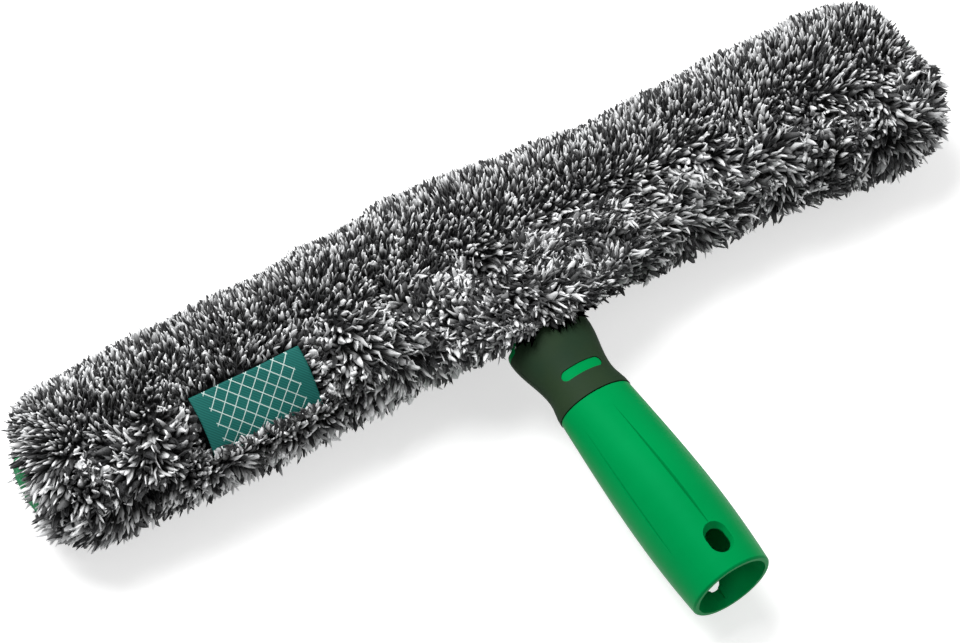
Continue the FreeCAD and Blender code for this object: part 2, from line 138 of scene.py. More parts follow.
def ramp(values: np.ndarray, start: float, end: float) -> np.ndarray:
    """Nought up to the start, one beyond the end, and a straight line between them."""
    return np.clip((values - start) / (end - start), 0, 1)


def bell(values: np.ndarray, width: float) -> np.ndarray:
    """A bell curve: one at nought, and 1/e where a value is as large as the width."""
    return np.exp(-((values / width) ** 2))


def signed_power(values: np.ndarray, power: float) -> np.ndarray:
    """A power of the size of each value, with the value's own sign."""
    return np.sign(values) * np.abs(values) ** power


def full_turn(count: int) -> np.ndarray:
    """Even angles round a full turn, without its end."""
    return np.linspace(0, 2 * np.pi, count, endpoint=False)


def wrapped(angles: np.ndarray) -> np.ndarray:
    """The same angles, between half a turn back and half a turn on."""
    return np.mod(angles + np.pi, 2 * np.pi) - np.pi


def unit(vectors: np.ndarray) -> np.ndarray:
    """The same directions at length one."""
    return vectors / np.maximum(np.linalg.norm(vectors, axis=-1, keepdims=True), 1e-12)


def places_at(x: np.ndarray, y: np.ndarray, z: np.ndarray) -> np.ndarray:
    """Places from their coordinates, which are spread over one grid and end up along the last axis."""
    return np.stack(np.broadcast_arrays(x, y, z), axis=-1)


def wave_noise(points: np.ndarray, wavelength: float, seed: int, waves: int = 14) -> np.ndarray:
    """Smooth seeded noise with a spread of about one.

    It is a sum of plane cosine waves in random directions, with lengths near the given one.

    Args:
        points: Places, with their coordinates along the last axis.
        wavelength: Typical length of a wave.
        seed: Picks the waves.
        waves: How many waves are added up.

    Returns:
        One value for each place.
    """
    random = np.random.default_rng(seed)
    directions = random.normal(size=(waves, 3))
    directions /= np.linalg.norm(directions, axis=1, keepdims=True)
    turns = 2 * np.pi / (wavelength * random.uniform(0.7, 1.5, (waves, 1)))
    phases = random.uniform(0, 2 * np.pi, waves)
    return np.cos(points @ (directions * turns).T + phases).sum(axis=-1) * math.sqrt(2 / waves)


def make_piece(name: str, vertices: np.ndarray, faces: list[np.ndarray]) -> bpy.types.Object:
    """Puts whole arrays of vertices and faces into a smooth-shaded mesh object at the origin.

    Args:
        name: Name of the object.
        vertices: Places, one row each.
        faces: Arrays of vertex numbers, one array for each count of corners.

    Returns:
        The object, linked to the scene.
    """
    mesh = bpy.data.meshes.new(name)
    corners = np.concatenate([group.ravel() for group in faces]).astype(np.int32)
    counts = np.concatenate([np.full(len(group), group.shape[1]) for group in faces])
    starts = np.concatenate([[0], np.cumsum(counts)[:-1]]).astype(np.int32)
    mesh.vertices.add(len(vertices))
    mesh.vertices.foreach_set("co", np.ascontiguousarray(vertices, np.float32).ravel())
    mesh.loops.add(len(corners))
    mesh.loops.foreach_set("vertex_index", corners)
    mesh.polygons.add(len(counts))
    mesh.polygons.foreach_set("loop_start", starts)
    mesh.polygons.foreach_set("use_smooth", np.ones(len(counts), bool))
    mesh.update(calc_edges=True)
    piece = bpy.data.objects.new(name, mesh)
    bpy.context.scene.collection.objects.link(piece)
    return piece


def tube_quads(rows: int, columns: int) -> np.ndarray:
    """Quads of a grid that is open along its rows and closed round its columns.

    Args:
        rows: Count of rings.
        columns: Count of points in a ring.

    Returns:
        An array with four vertex numbers for each quad, ring after ring.
    """
    ring, spot = np.meshgrid(np.arange(rows - 1), np.arange(columns), indexing="ij")
    near, after = ring * columns, (spot + 1) % columns
    far = near + columns
    return np.stack([near + spot, near + after, far + after, far + spot], axis=-1).reshape(-1, 4)


def pole_fans(rows: int, columns: int) -> np.ndarray:
    """Triangles that close both ends of a tube, round two poles that come after its rings.

    Args:
        rows: Count of rings.
        columns: Count of points in a ring.

    Returns:
        An array with three vertex numbers for each triangle, the first ring's fan before the last one's.
    """
    spot = np.arange(columns)
    after = (spot + 1) % columns
    top, pole = (rows - 1) * columns, rows * columns
    first = np.stack([after, spot, np.full(columns, pole)], axis=1)
    last = np.stack([top + spot, top + after, np.full(columns, pole + 1)], axis=1)
    return np.concatenate([first, last])


def closed_body(name: str, rings: np.ndarray, hole: np.ndarray | None = None) -> bpy.types.Object:
    """A body drawn through closed rings, with a pole at the middle of the first and of the last.

    Args:
        name: Name of the object.
        rings: Places by ring, by point round the ring and by coordinate.
        hole: For each place, whether it is in an opening. A quad with all its corners there is left out.

    Returns:
        The object.
    """
    rows, columns, _ = rings.shape
    poles = np.stack([rings[0].mean(axis=0), rings[-1].mean(axis=0)])
    quads = tube_quads(rows, columns)
    if hole is not None:
        quads = quads[~hole.reshape(-1)[quads].all(axis=1)]
    vertices = np.concatenate([rings.reshape(-1, 3), poles])
    return make_piece(name, vertices, [quads, pole_fans(rows, columns)])


def middle_and_half(node: str) -> tuple[np.ndarray, np.ndarray]:
    """The middle of a CAD node's box, and half its size along each axis."""
    low, high = (np.array(corner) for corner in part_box(node))
    return (low + high) / 2, (high - low) / 2


@dataclass(frozen=True)
class Finish:
    """A material in the making: its name, and the steps that every finish shares."""

    name: str

    def make(self) -> bpy.types.Material:
        """Makes the material from the finish's own nodes, a surface shader and an output.

        Returns:
            The material.
        """
        material = bpy.data.materials.new(self.name)
        material.use_nodes = True
        tree = material.node_tree
        tree.nodes.clear()
        shader = add_node(tree, "BsdfPrincipled", self.inputs(tree))
        add_node(tree, "OutputMaterial", {"Surface": shader.outputs[0]})
        return material

    def inputs(self, tree: bpy.types.NodeTree) -> dict[str, Any]:
        """Adds the finish's own nodes and gives what they feed to the shader; each finish has its way."""
        raise NotImplementedError


@dataclass(frozen=True)
class MouldedPolypropylene(Finish):
    """Polypropylene from a polished mould: satin, with a broad highlight, flow clouds and spark grain."""

    colour: str = "#008c48"
    cloud: str = "#008141"
    gleam: str = "#3cffc4"  # the dyed plastic keeps its highlights green
    cloud_mm: float = 22.0
    grain_mm: float = 0.7  # a mould's grain is nearer 0.1 mm; drawn coarser so that it shows

    def inputs(self, tree: bpy.types.NodeTree) -> dict[str, Any]:
        """Clouds tint the green of the grip, the fork and the bar; grain varies its gloss and relief.

        Args:
            tree: The material's tree.

        Returns:
            Values and outputs for the shader.
        """
        place = add_node(tree, "TexCoord").outputs["Object"]
        clouds, grain = (
            add_node(tree, "TexNoise", {"Vector": place, "Scale": scale, "Detail": detail}).outputs["Fac"]
            for scale, detail in ((per_metre(self.cloud_mm), 3.0), (per_metre(self.grain_mm), 2.0))
        )
        tint = {0: clouds, 6: linear(self.colour), 7: linear(self.cloud)}
        gloss = {"Value": grain, "To Min": 0.35, "To Max": 0.46}
        relief = {"Height": grain, "Strength": 0.05, "Distance": 0.2 * MM}
        return {
            "Base Color": add_node(tree, "Mix", tint, RGBA).outputs[2],
            "Roughness": add_node(tree, "MapRange", gloss).outputs[0],
            "Normal": add_node(tree, "Bump", relief).outputs[0],
            "IOR": 1.49,
            "Specular IOR Level": 0.05,
            "Specular Tint": linear(self.gleam),
        }


@dataclass(frozen=True)
class SoftTouchElastomer(Finish):
    """Thermoplastic elastomer from a grained mould: dark and dull, with fine pores."""

    colour: str = "#1f3427"
    worn: str = "#2b3a24"
    cloud_mm: float = 14.0
    pore_mm: float = 0.55  # real pores are about 0.2 mm; drawn coarser so that they show

    def inputs(self, tree: bpy.types.NodeTree) -> dict[str, Any]:
        """Clouds vary the tint and the gloss of the neck covers; pores give their relief.

        Args:
            tree: The material's tree.

        Returns:
            Values and outputs for the shader.
        """
        place = add_node(tree, "TexCoord").outputs["Object"]
        clouds, pores = (
            add_node(tree, pattern, {"Vector": place, "Scale": per_metre(size)}).outputs[0]
            for pattern, size in (("TexNoise", self.cloud_mm), ("TexVoronoi", self.pore_mm))
        )
        tint = {0: clouds, 6: linear(self.colour), 7: linear(self.worn)}
        gloss = {"Value": clouds, "To Min": 0.52, "To Max": 0.66}
        relief = {"Height": pores, "Strength": 0.12, "Distance": 0.1 * MM}
        return {
            "Base Color": add_node(tree, "Mix", tint, RGBA).outputs[2],
            "Roughness": add_node(tree, "MapRange", gloss).outputs[0],
            "Normal": add_node(tree, "Bump", relief).outputs[0],
            "IOR": 1.48,
            "Specular IOR Level": 0.06,
        }


@dataclass(frozen=True)
class TurnedStainless(Finish):
    """Stainless steel turned on a lathe: a bright grey metal with fine rings round the pivot."""

    colour: str = "#c6c5c0"
    ring_mm: float = 1.9  # a lathe's feed is nearer 0.1 mm; drawn coarser so that the rings show
    pivot: float = PIVOT

    def inputs(self, tree: bpy.types.NodeTree) -> dict[str, Any]:
        """Rings vary the gloss and the relief of the pin, the disc spring and the nut.

        Args:
            tree: The material's tree.

        Returns:
            Values and outputs for the shader.
        """
        place = add_node(tree, "TexCoord").outputs["Object"]
        centred = add_node(tree, "Mapping", {"Vector": place, "Location": (0.0, -self.pivot, 0.0)})
        rings = add_node(
            tree,
            "TexWave",
            {"Vector": centred.outputs[0], "Scale": WAVE_TURN * per_metre(self.ring_mm), "Distortion": 0.4},
            {"wave_type": "RINGS", "rings_direction": "Z"},
        )
        gloss = {"Value": rings.outputs["Fac"], "To Min": 0.24, "To Max": 0.38}
        relief = {"Height": rings.outputs["Fac"], "Strength": 0.1, "Distance": 0.03 * MM}
        return {
            "Base Color": linear(self.colour),
            "Metallic": 1.0,
            "Roughness": add_node(tree, "MapRange", gloss).outputs[0],
            "Normal": add_node(tree, "Bump", relief).outputs[0],
        }


@dataclass(frozen=True)
class PressedAcetal(Finish):
    """Acetal punched from sheet: waxy off-white with a dull, slightly scuffed face."""

    colour: str = "#e4e1d8"
    scuff: str = "#d2cfc6"
    scuff_mm: float = 3.0

    def inputs(self, tree: bpy.types.NodeTree) -> dict[str, Any]:
        """Scuffs vary the tint and the gloss of the friction washers.

        Args:
            tree: The material's tree.

        Returns:
            Values and outputs for the shader.
        """
        place = add_node(tree, "TexCoord").outputs["Object"]
        size = {"Scale": per_metre(self.scuff_mm), "Detail": 4.0}
        scuffs = add_node(tree, "TexNoise", {"Vector": place, **size}).outputs["Fac"]
        tint = {0: scuffs, 6: linear(self.colour), 7: linear(self.scuff)}
        gloss = {"Value": scuffs, "To Min": 0.34, "To Max": 0.5}
        return {
            "Base Color": add_node(tree, "Mix", tint, RGBA).outputs[2],
            "Roughness": add_node(tree, "MapRange", gloss).outputs[0],
            "IOR": 1.48,
        }


@dataclass(frozen=True)
class CutYarnPile(Finish):
    """Cut microfibre yarn in black and white: dull, with a little bloom, and painted shade towards its
    roots.

    It reads the yarn attribute: red is how white the yarn is, green the place from root to tip.
    """

    black: str = "#131417"
    white: str = "#fbfcfd"
    fibre_mm: float = 0.5  # a yarn's fibres are far finer; drawn coarser so that they show
    streak: float = 0.1
    # painted shade towards the roots: the share of colour left at the root, the level up to which the tuft
    # is darkest, and the level from which it has no painted shade
    painted_root_light: float = 0.03
    shade_up_to: float = 0.5
    unshaded_from: float = 0.96

    def inputs(self, tree: bpy.types.NodeTree) -> dict[str, Any]:
        """Dyes each tuft by its own tone with streaks of fibre, and paints shade on it towards its root.

        Args:
            tree: The material's tree.

        Returns:
            Values and outputs for the shader.
        """
        place = add_node(tree, "TexCoord").outputs["Object"]
        mark = add_node(tree, "Attribute", settings={"attribute_name": YARN})
        parts = add_node(tree, "SeparateColor", {0: mark.outputs["Color"]})
        size = {"Scale": per_metre(self.fibre_mm), "Detail": 2.0}
        fibres = add_node(tree, "TexNoise", {"Vector": place, **size}).outputs["Fac"]
        span = {"Value": fibres, "To Min": -self.streak, "To Max": self.streak}
        both = {0: parts.outputs["Red"], 1: add_node(tree, "MapRange", span).outputs[0]}
        tone = add_node(tree, "Math", both, {"operation": "ADD", "use_clamp": True})
        tint = {0: tone.outputs[0], 6: linear(self.black), 7: linear(self.white)}
        dyed = add_node(tree, "Mix", tint, RGBA)
        # painted shade: the colour falls from the tip down to the root, along the yarn attribute's green
        rise = {"From Min": self.shade_up_to, "From Max": self.unshaded_from, "To Min": self.painted_root_light}
        rise["Value"] = parts.outputs["Green"]
        depth = add_node(tree, "MapRange", rise, {"interpolation_type": "SMOOTHSTEP"})
        layers = {0: 1.0, 6: dyed.outputs[2], 7: depth.outputs[0]}
        shaded = add_node(tree, "Mix", layers, {**RGBA, "blend_type": "MULTIPLY"})
        return {
            "Base Color": shaded.outputs[2],
            "Roughness": 0.72,
            "Specular IOR Level": 0.3,
            "Sheen Weight": 0.12,
        }


@dataclass(frozen=True)
class KnitBacking(Finish):
    """Warp-knit backing cloth: nearly black between the roots of the yarn, with small loops."""

    colour: str = "#131416"
    loop: str = "#1e1f22"
    loop_mm: float = 1.6

    def inputs(self, tree: bpy.types.NodeTree) -> dict[str, Any]:
        """Loops vary the tint and the relief of the cloth that the pile is rooted in.

        Args:
            tree: The material's tree.

        Returns:
            Values and outputs for the shader.
        """
        place = add_node(tree, "TexCoord").outputs["Object"]
        size = {"Scale": per_metre(self.loop_mm), "Randomness": 0.6}
        loops = add_node(tree, "TexVoronoi", {"Vector": place, **size}).outputs["Distance"]
        tint = {0: loops, 6: linear(self.loop), 7: linear(self.colour)}
        relief = {"Height": loops, "Strength": 0.6, "Distance": 0.5 * MM}
        return {
            "Base Color": add_node(tree, "Mix", tint, RGBA).outputs[2],
            "Normal": add_node(tree, "Bump", relief).outputs[0],
            "Roughness": 0.9,
        }


@dataclass(frozen=True)
class NonwovenScourer(Finish):
    """Bonded nylon fibres with grit: a rough open felt, bright green, with painted shade in the gaps
    between its fibres.
    """

    fibre: str = "#1c9a5e"
    # painted shade: the colour of the gaps between the fibres
    gap: str = "#0a5a34"
    fibre_mm: float = 1.4

    def inputs(self, tree: bpy.types.NodeTree) -> dict[str, Any]:
        """Twisted noise of high contrast gives the tint of the end pads, with painted shade in its gaps,
        and their relief.

        Args:
            tree: The material's tree.

        Returns:
            Values and outputs for the shader.
        """
        place = add_node(tree, "TexCoord").outputs["Object"]
        size = {"Scale": per_metre(self.fibre_mm), "Detail": 5.0, "Distortion": 1.6}
        felt = add_node(tree, "TexNoise", {"Vector": place, **size}).outputs["Fac"]
        fibres = add_node(tree, "MapRange", {"Value": felt, "From Min": 0.36, "From Max": 0.62}).outputs[0]
        # painted shade in the gaps, bright green on the fibres
        tint = {0: fibres, 6: linear(self.gap), 7: linear(self.fibre)}
        relief = {"Height": fibres, "Strength": 0.8, "Distance": 0.5 * MM}
        return {
            "Base Color": add_node(tree, "Mix", tint, RGBA).outputs[2],
            "Normal": add_node(tree, "Bump", relief).outputs[0],
            "Roughness": 0.85,
        }


@dataclass(frozen=True)
class WovenLabelTape(Finish):
    """Damask tape from a label loom: fine ribbed teal cloth with a lattice in raised white thread.

    It reads the label's own map, which is in millimetres along and across the tape.
    """

    length_mm: float
    ground: str = "#13544f"
    rib: str = "#1c665f"
    thread: str = "#b4c8c3"
    rib_mm: float = 0.85  # real ribs are nearer 0.3 mm; drawn coarser so that they show
    lattice_mm: float = 5.6
    line_share: float = 0.085
    margin_mm: float = 5.0

    def inputs(self, tree: bpy.types.NodeTree) -> dict[str, Any]:
        """Weaves ribs, and over them two sets of slanting lines that stop short of the tape's ends.

        Args:
            tree: The material's tree.

        Returns:
            Values and outputs for the shader.
        """
        place = add_node(tree, "UVMap", settings={"uv_map": TAPE_MAP}).outputs[0]
        spot = add_node(tree, "SeparateXYZ", {0: place})
        along, across = spot.outputs["X"], spot.outputs["Y"]
        slanted = math.sqrt(2) * WAVE_TURN / self.rib_mm  # slanting waves are this much longer
        size = {"Scale": slanted, "Distortion": 0.6, "Detail": 1.0}
        weave = add_node(tree, "TexWave", {"Vector": place, **size}, {"bands_direction": "DIAGONAL"})
        ribs = weave.outputs["Fac"]
        cloth = add_node(tree, "Mix", {0: ribs, 6: linear(self.ground), 7: linear(self.rib)}, RGBA)
        repeat, edge = 1 / self.lattice_mm, self.line_share / 2
        lines = {}
        for number, slant in enumerate(("ADD", "SUBTRACT")):
            line = along
            steps = ((slant, across), ("MULTIPLY", repeat), ("PINGPONG", 0.5), ("LESS_THAN", edge))
            for operation, value in steps:
                line = add_node(tree, "Math", {0: line, 1: value}, {"operation": operation}).outputs[0]
            lines[number] = line
        half = self.length_mm / 2
        span = {0: along, 1: half, 2: half - self.margin_mm}
        inside = add_node(tree, "Math", span, {"operation": "COMPARE"}).outputs[0]
        lattice = add_node(tree, "Math", lines, {"operation": "MAXIMUM"}).outputs[0]
        raised = add_node(tree, "Math", {0: lattice, 1: inside}, {"operation": "MULTIPLY"}).outputs[0]
        height = add_node(tree, "Math", {0: ribs, 1: raised}, {"operation": "ADD"}).outputs[0]
        tint = {0: raised, 6: cloth.outputs[2], 7: linear(self.thread)}
        relief = {"Height": height, "Strength": 0.35, "Distance": 0.15 * MM}
        return {
            "Base Color": add_node(tree, "Mix", tint, RGBA).outputs[2],
            "Normal": add_node(tree, "Bump", relief).outputs[0],
            "Roughness": 0.7,
            "Specular IOR Level": 0.15,
        }


@dataclass(frozen=True)
class BrushedCloth(Finish):
    """A felted or looped cloth inside the sleeve: dull, with small clumps of fibre."""

    light: str = "#8d8e92"
    dark: str = "#66676b"
    clump_mm: float = 1.8

    def inputs(self, tree: bpy.types.NodeTree) -> dict[str, Any]:
        """Clumps vary the tint and the relief of the lining, the tapes or the binding.

        Args:
            tree: The material's tree.

        Returns:
            Values and outputs for the shader.
        """
        place = add_node(tree, "TexCoord").outputs["Object"]
        size = {"Scale": per_metre(self.clump_mm), "Detail": 4.0}
        clumps = add_node(tree, "TexNoise", {"Vector": place, **size}).outputs["Fac"]
        tint = {0: clumps, 6: linear(self.dark), 7: linear(self.light)}
        relief = {"Height": clumps, "Strength": 0.7, "Distance": 0.4 * MM}
        return {
            "Base Color": add_node(tree, "Mix", tint, RGBA).outputs[2],
            "Normal": add_node(tree, "Bump", relief).outputs[0],
            "Roughness": 0.9,
            "Sheen Weight": 0.1,
        }


@dataclass(frozen=True)
class PaperSweep(Finish):
    """White background paper: it takes the tool's soft shadow, and looks white to the camera."""

    colour: str = "#d2d2d2"
    lift: float = 0.6

    def inputs(self, tree: bpy.types.NodeTree) -> dict[str, Any]:
        """Adds a little light of the paper's own for rays that look at it.

        Args:
            tree: The material's tree.

        Returns:
            Values and outputs for the shader.
        """
        path = add_node(tree, "LightPath")
        glow = path.outputs["Is Camera Ray"]
        looks = [("MAXIMUM", path.outputs[ray]) for ray in ("Is Glossy Ray", "Is Transmission Ray")]
        for operation, value in (*looks, ("MULTIPLY", self.lift)):
            glow = add_node(tree, "Math", {0: glow, 1: value}, {"operation": operation}).outputs[0]
        return {
            "Base Color": linear(self.colour),
            "Roughness": 1.0,
            "Specular IOR Level": 0.0,
            "Emission Color": WHITE,
            "Emission Strength": glow,
        }


def dress(node: str, material: bpy.types.Material) -> None:
    """Gives a CAD node a better material in all its slots.

    Args:
        node: Name of the node.
        material: Its new material.
    """
    for slot in frame["nodes"][node].material_slots:
        slot.material = material
    log.info("dressed %s in %s", node, material.name)


def add_piece(
    piece: bpy.types.Object, material: bpy.types.Material, body: str, slot: str, *replaced: str
) -> bpy.types.Object:
    """Finishes a new piece: its material, the body that it rides on and what it stands for.

    Args:
        piece: The new object.
        material: Its material.
        body: The body that carries it.
        slot: The record's material slot; not used.
        *replaced: CAD nodes that it stands for.

    Returns:
        The same object.
    """
    piece.data.materials.append(material)
    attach(piece, body)
    if replaced:
        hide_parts(*replaced)
    log.info("made %s, %d faces", piece.name, len(piece.data.polygons))
    return piece


@dataclass(frozen=True)
class Softbox:
    """A square lamp that faces the tool, by its direction and distance from it."""

    name: str
    direction: tuple[float, float, float]
    distance: float
    size: float
    watts: float

    def hang(self, target: Vector) -> None:
        """Hangs the lamp.

        Args:
            target: The place that it faces.
        """
        lamp = bpy.data.lights.new(self.name, "AREA")
        lamp.size = self.size
        lamp.energy = self.watts
        holder = bpy.data.objects.new(self.name, lamp)
        toward = Vector(self.direction).normalized()
        holder.location = target + toward * self.distance
        holder.rotation_euler = toward.to_track_quat("Z", "Y").to_euler()
        bpy.context.scene.collection.objects.link(holder)


@dataclass
class Studio:
    """White paper, soft light and the camera of the photograph."""

    camera_place: tuple[float, float, float] = (-0.4810, -0.4087, 1.0890)
    camera_right: tuple[float, float, float] = (0.8375, -0.5397, 0.0859)
    camera_up: tuple[float, float, float] = (0.4148, 0.7301, 0.5430)
    camera_back: tuple[float, float, float] = (-0.3557, -0.4191, 0.8353)
    lens_mm: float = 133.49
    sensor_mm: float = 36.0
    camera_reach: float = 50.0
    floor_half: float = 4.0
    target: tuple[float, float, float] = (0.0, 0.12, 0.0)
    key: Softbox = Softbox("key_softbox", (-0.25, 0.42, 0.87), distance=1.5, size=0.9, watts=30.0)
    fill: Softbox = Softbox("fill_softbox", (0.75, -0.35, 0.55), distance=1.6, size=1.2, watts=4.5)
    world_level: float = 0.32
    paper: PaperSweep = PaperSweep("white_background_paper")

    def build(self) -> None:
        """Builds the floor, the lamps, the world and the camera."""
        self.build_floor()
        for lamp in (self.key, self.fill):
            lamp.hang(Vector(self.target))
        self.build_world()
        self.build_camera()

    def build_floor(self) -> None:
        """Lays a flat sheet of paper under the sleeve."""
        around = np.array([[-1, -1], [1, -1], [1, 1], [-1, 1]]) * self.floor_half
        corners = places_at(around[:, 0], around[:, 1], CAD_BOX[0][2])
        floor = make_piece("paper_floor", corners, [np.array([[0, 1, 2, 3]])])
        floor.data.materials.append(self.paper.make())

    def build_world(self) -> None:
        """Fills the room with even light, which looks white to the camera."""
        world = bpy.data.worlds.new("even_room")
        world.use_nodes = True
        tree = world.node_tree
        tree.nodes.clear()
        path = add_node(tree, "LightPath")
        levels = {"Value": path.outputs["Is Camera Ray"], "To Min": self.world_level}
        strength = add_node(tree, "MapRange", levels)
        light = add_node(tree, "Background", {"Color": WHITE, "Strength": strength.outputs[0]})
        add_node(tree, "OutputWorld", {"Surface": light.outputs[0]})
        bpy.context.scene.world = world

    def build_camera(self) -> None:
        """Puts the camera where the photograph was taken from."""
        camera = bpy.data.cameras.new("photo_camera")
        camera.lens = self.lens_mm
        camera.sensor_fit = "HORIZONTAL"
        camera.sensor_width = self.sensor_mm
        camera.clip_end = self.camera_reach
        holder = bpy.data.objects.new("photo_camera", camera)
        turn = Matrix((self.camera_right, self.camera_up, self.camera_back)).transposed()
        holder.matrix_world = Matrix.Translation(self.camera_place) @ turn.to_4x4()
        bpy.context.scene.collection.objects.link(holder)
        bpy.context.scene.camera = holder


@dataclass
class Handle:
    """The pole handle: moulded grip and fork, two soft neck covers and the metal of the swivel."""

    plastic: MouldedPolypropylene = MouldedPolypropylene("moulded_green_polypropylene")
    covers: SoftTouchElastomer = SoftTouchElastomer("soft_touch_olive_elastomer")
    metal: TurnedStainless = TurnedStainless("turned_stainless_steel")
    washers: PressedAcetal = PressedAcetal("pressed_white_acetal")

    def build(self) -> None:
        """Dresses the nodes of the handle and the bar that it carries."""
        dresses = (
            (self.plastic, ("handle_grip", "t_bar")),
            (self.covers, ("neck_cover_front", "neck_cover_rear")),
            (self.metal, ("pivot_pin", "spring_washer", "lock_nut")),
            (self.washers, ("friction_washer_front", "friction_washer_rear")),
        )
        for finish, nodes in dresses:
            material = finish.make()
            for node in nodes:
                dress(node, material)


@dataclass
class SleeveForm:
    """The outer form of the pile: an oval tube with domed ends, and the places of its features.

    Angles run round a section, from the front (+Z) towards the handle (-Y).
    """

    outline_points: int = 6000
    bar_line: float = 157.4 * MM
    middle: float = 158.6 * MM
    half_height: float = 32.8 * MM
    half_depth: float = 27.2 * MM
    mean_radius: float = 30.0 * MM
    crown: float = 5.0 * MM
    crown_place: float = -24.0 * MM
    crown_reach: float = 45.0 * MM
    end_drop: float = 8.0 * MM
    drop_start: float = 101.0 * MM
    dome_start: float = 163.0 * MM
    dome_length: float = 30.0 * MM
    dome_power: float = 3.0
    cap_share: float = 0.5
    pivot: float = PIVOT
    sweep_radius: float = 18.1 * MM
    sweep_depth: float = 13.4 * MM
    sweep_front: float = 0.4  # share of that depth from which pile goes forwards instead of out
    overhang_half: tuple[float, float, float] = (46.0 * MM, 15.5 * MM, 7.0 * MM)
    overhang_line: float = 132.3 * MM
    parting_angle: float = math.radians(70.0)
    parting_sway: float = 0.05
    parting_sway_length: float = 15.0 * MM
    parting_start: float = -179.0 * MM
    parting_end: float = -54.0 * MM
    parting_half: float = 3.8 * MM
    parting_depth: float = 6.0 * MM
    fold_angle: float = 1.2
    fold_left: tuple[float, float] = (45.0 * MM, 65.0 * MM)
    fold_right: tuple[float, float] = (150.0 * MM, 130.0 * MM)
    fold_half: float = 3.0 * MM
    fold_depth: float = 2.6 * MM
    pocket_place: float = 156.0 * MM
    pocket_angle: float = math.radians(70.0)
    pocket_half: tuple[float, float] = (9.0 * MM, 5.0 * MM)
    pocket_depth: float = 4.0 * MM
    sink_share: float = 0.7  # how far the cloth and the roots follow a fold of the pile
    slit_half: tuple[float, float] = (18.0 * MM, 4.6 * MM)
    floor: float = CAD_BOX[0][2]

    def meridian(self) -> tuple[np.ndarray, np.ndarray, np.ndarray, np.ndarray]:
        """The outline from the middle of the left end to the middle of the right one.

        Along the body the share of the full section is one. In the dome it follows a superellipse
        down to the flat cap, and across the cap it falls to nothing.

        Returns:
            Place along X, share of the section, its rate of change along the outline, and the
            length of each step.
        """
        power = self.dome_power
        turn = np.linspace(0, np.pi / 2, self.outline_points // 4)
        reach = (1 - self.cap_share**power) ** (1 / power)
        dome_x = self.dome_start + self.dome_length * reach * np.sin(turn)
        dome_share = (1 - ((dome_x - self.dome_start) / self.dome_length) ** power) ** (1 / power)
        cap_share = np.linspace(self.cap_share, 0, self.outline_points // 8)[1:]
        half_x = np.concatenate([dome_x, np.full(len(cap_share), dome_x[-1])])
        half_share = np.concatenate([dome_share, cap_share])
        body = np.linspace(-self.dome_start, self.dome_start, self.outline_points // 4)[1:-1]
        x = np.concatenate([-half_x[::-1], body, half_x])
        share = np.concatenate([half_share[::-1], np.ones(len(body)), half_share])
        rise = self.mean_radius * np.gradient(share)
        step = np.hypot(np.gradient(x), rise)
        return x, share, rise / step, step

    def section(self, x: np.ndarray) -> tuple[np.ndarray, np.ndarray]:
        """The full section: a bell curve lifts its top near the neck, a taper drops its foot at the right.

        Args:
            x: Places along X.

        Returns:
            Height of the middle, and the half height.
        """
        crown = self.crown * bell(x - self.crown_place, self.crown_reach)
        drop = self.end_drop * ramp(x, self.drop_start, self.dome_start)
        return self.middle + (crown - drop) / 2, self.half_height + (crown + drop) / 2

    def surface(
        self, x: np.ndarray, share: np.ndarray, rise: np.ndarray, angle: np.ndarray
    ) -> tuple[np.ndarray, np.ndarray]:
        """Places on the form, each on the oval of its section, and its outward directions.

        Args:
            x: Places along X.
            share: Shares of the full section.
            rise: Rates of change of the share along the outline.
            angle: Angles round the section.

        Returns:
            Places and unit normals, with coordinates along the last axis.
        """
        middle, height = self.section(x)
        depth = self.half_depth
        places = places_at(x, middle - height * share * np.sin(angle), depth * share * np.cos(angle))
        around = unit(places_at(0 * x, -np.sin(angle) / height, np.cos(angle) / depth))
        level = np.sqrt(np.maximum(0.0, 1 - rise**2))
        normals = around * level[..., None]
        normals[..., 0] = -rise
        return places, unit(normals)

    def overhang(self, places: np.ndarray, normals: np.ndarray) -> tuple[np.ndarray, np.ndarray]:
        """Moves places out to the pile that hangs down in front of the neck, where it stands further out.

        The overhang is half an ellipsoid. A place goes out along the line from the middle of the
        sleeve to the further of the two points where that line meets it.

        Args:
            places: Places on the plain form.
            normals: Its outward directions.

        Returns:
            The places and directions, moved where the overhang is further out.
        """
        long, high, deep = self.overhang_half
        core = np.array([self.middle, 0.0])
        centre = np.array([self.overhang_line, self.sweep_depth])
        drawn = np.sqrt(np.maximum(1 - (places[:, 0] / long) ** 2, 1e-6))
        size = np.stack([high * drawn, deep * drawn], axis=-1)
        start = (core - centre) / size
        course = (places[:, 1:] - core) / size
        square, half = (course**2).sum(axis=1), (start * course).sum(axis=1)
        under = half**2 - square * ((start**2).sum(axis=1) - 1)
        out = (-half + np.sqrt(np.maximum(under, 0))) / square
        moved = places.copy()
        moved[:, 1:] = core + (places[:, 1:] - core) * out[:, None]
        further = ((under > 0) & (out > 1) & (moved[:, 2] > self.sweep_depth))[:, None]
        lie = unit(np.concatenate([moved[:, :1] / long**2, (moved[:, 1:] - centre) / size**2], axis=1))
        return np.where(further, moved, places), np.where(further, lie, normals)

    def valley(self, x: np.ndarray, angle: np.ndarray) -> tuple[np.ndarray, np.ndarray]:
        """The parting along the lower front, between the main face and the rolled lower edge.

        Args:
            x: Places along X.
            angle: Angles round the section.

        Returns:
            Signed distance from the parting, positive below it, and how marked it is there, from 0 to 1.
        """
        sway = self.parting_sway * np.sin(x / self.parting_sway_length)
        off = (angle - self.parting_angle - sway) * self.mean_radius
        return off, np.where(x > self.parting_start, ramp(x, self.parting_end, self.parting_start), 0.0)

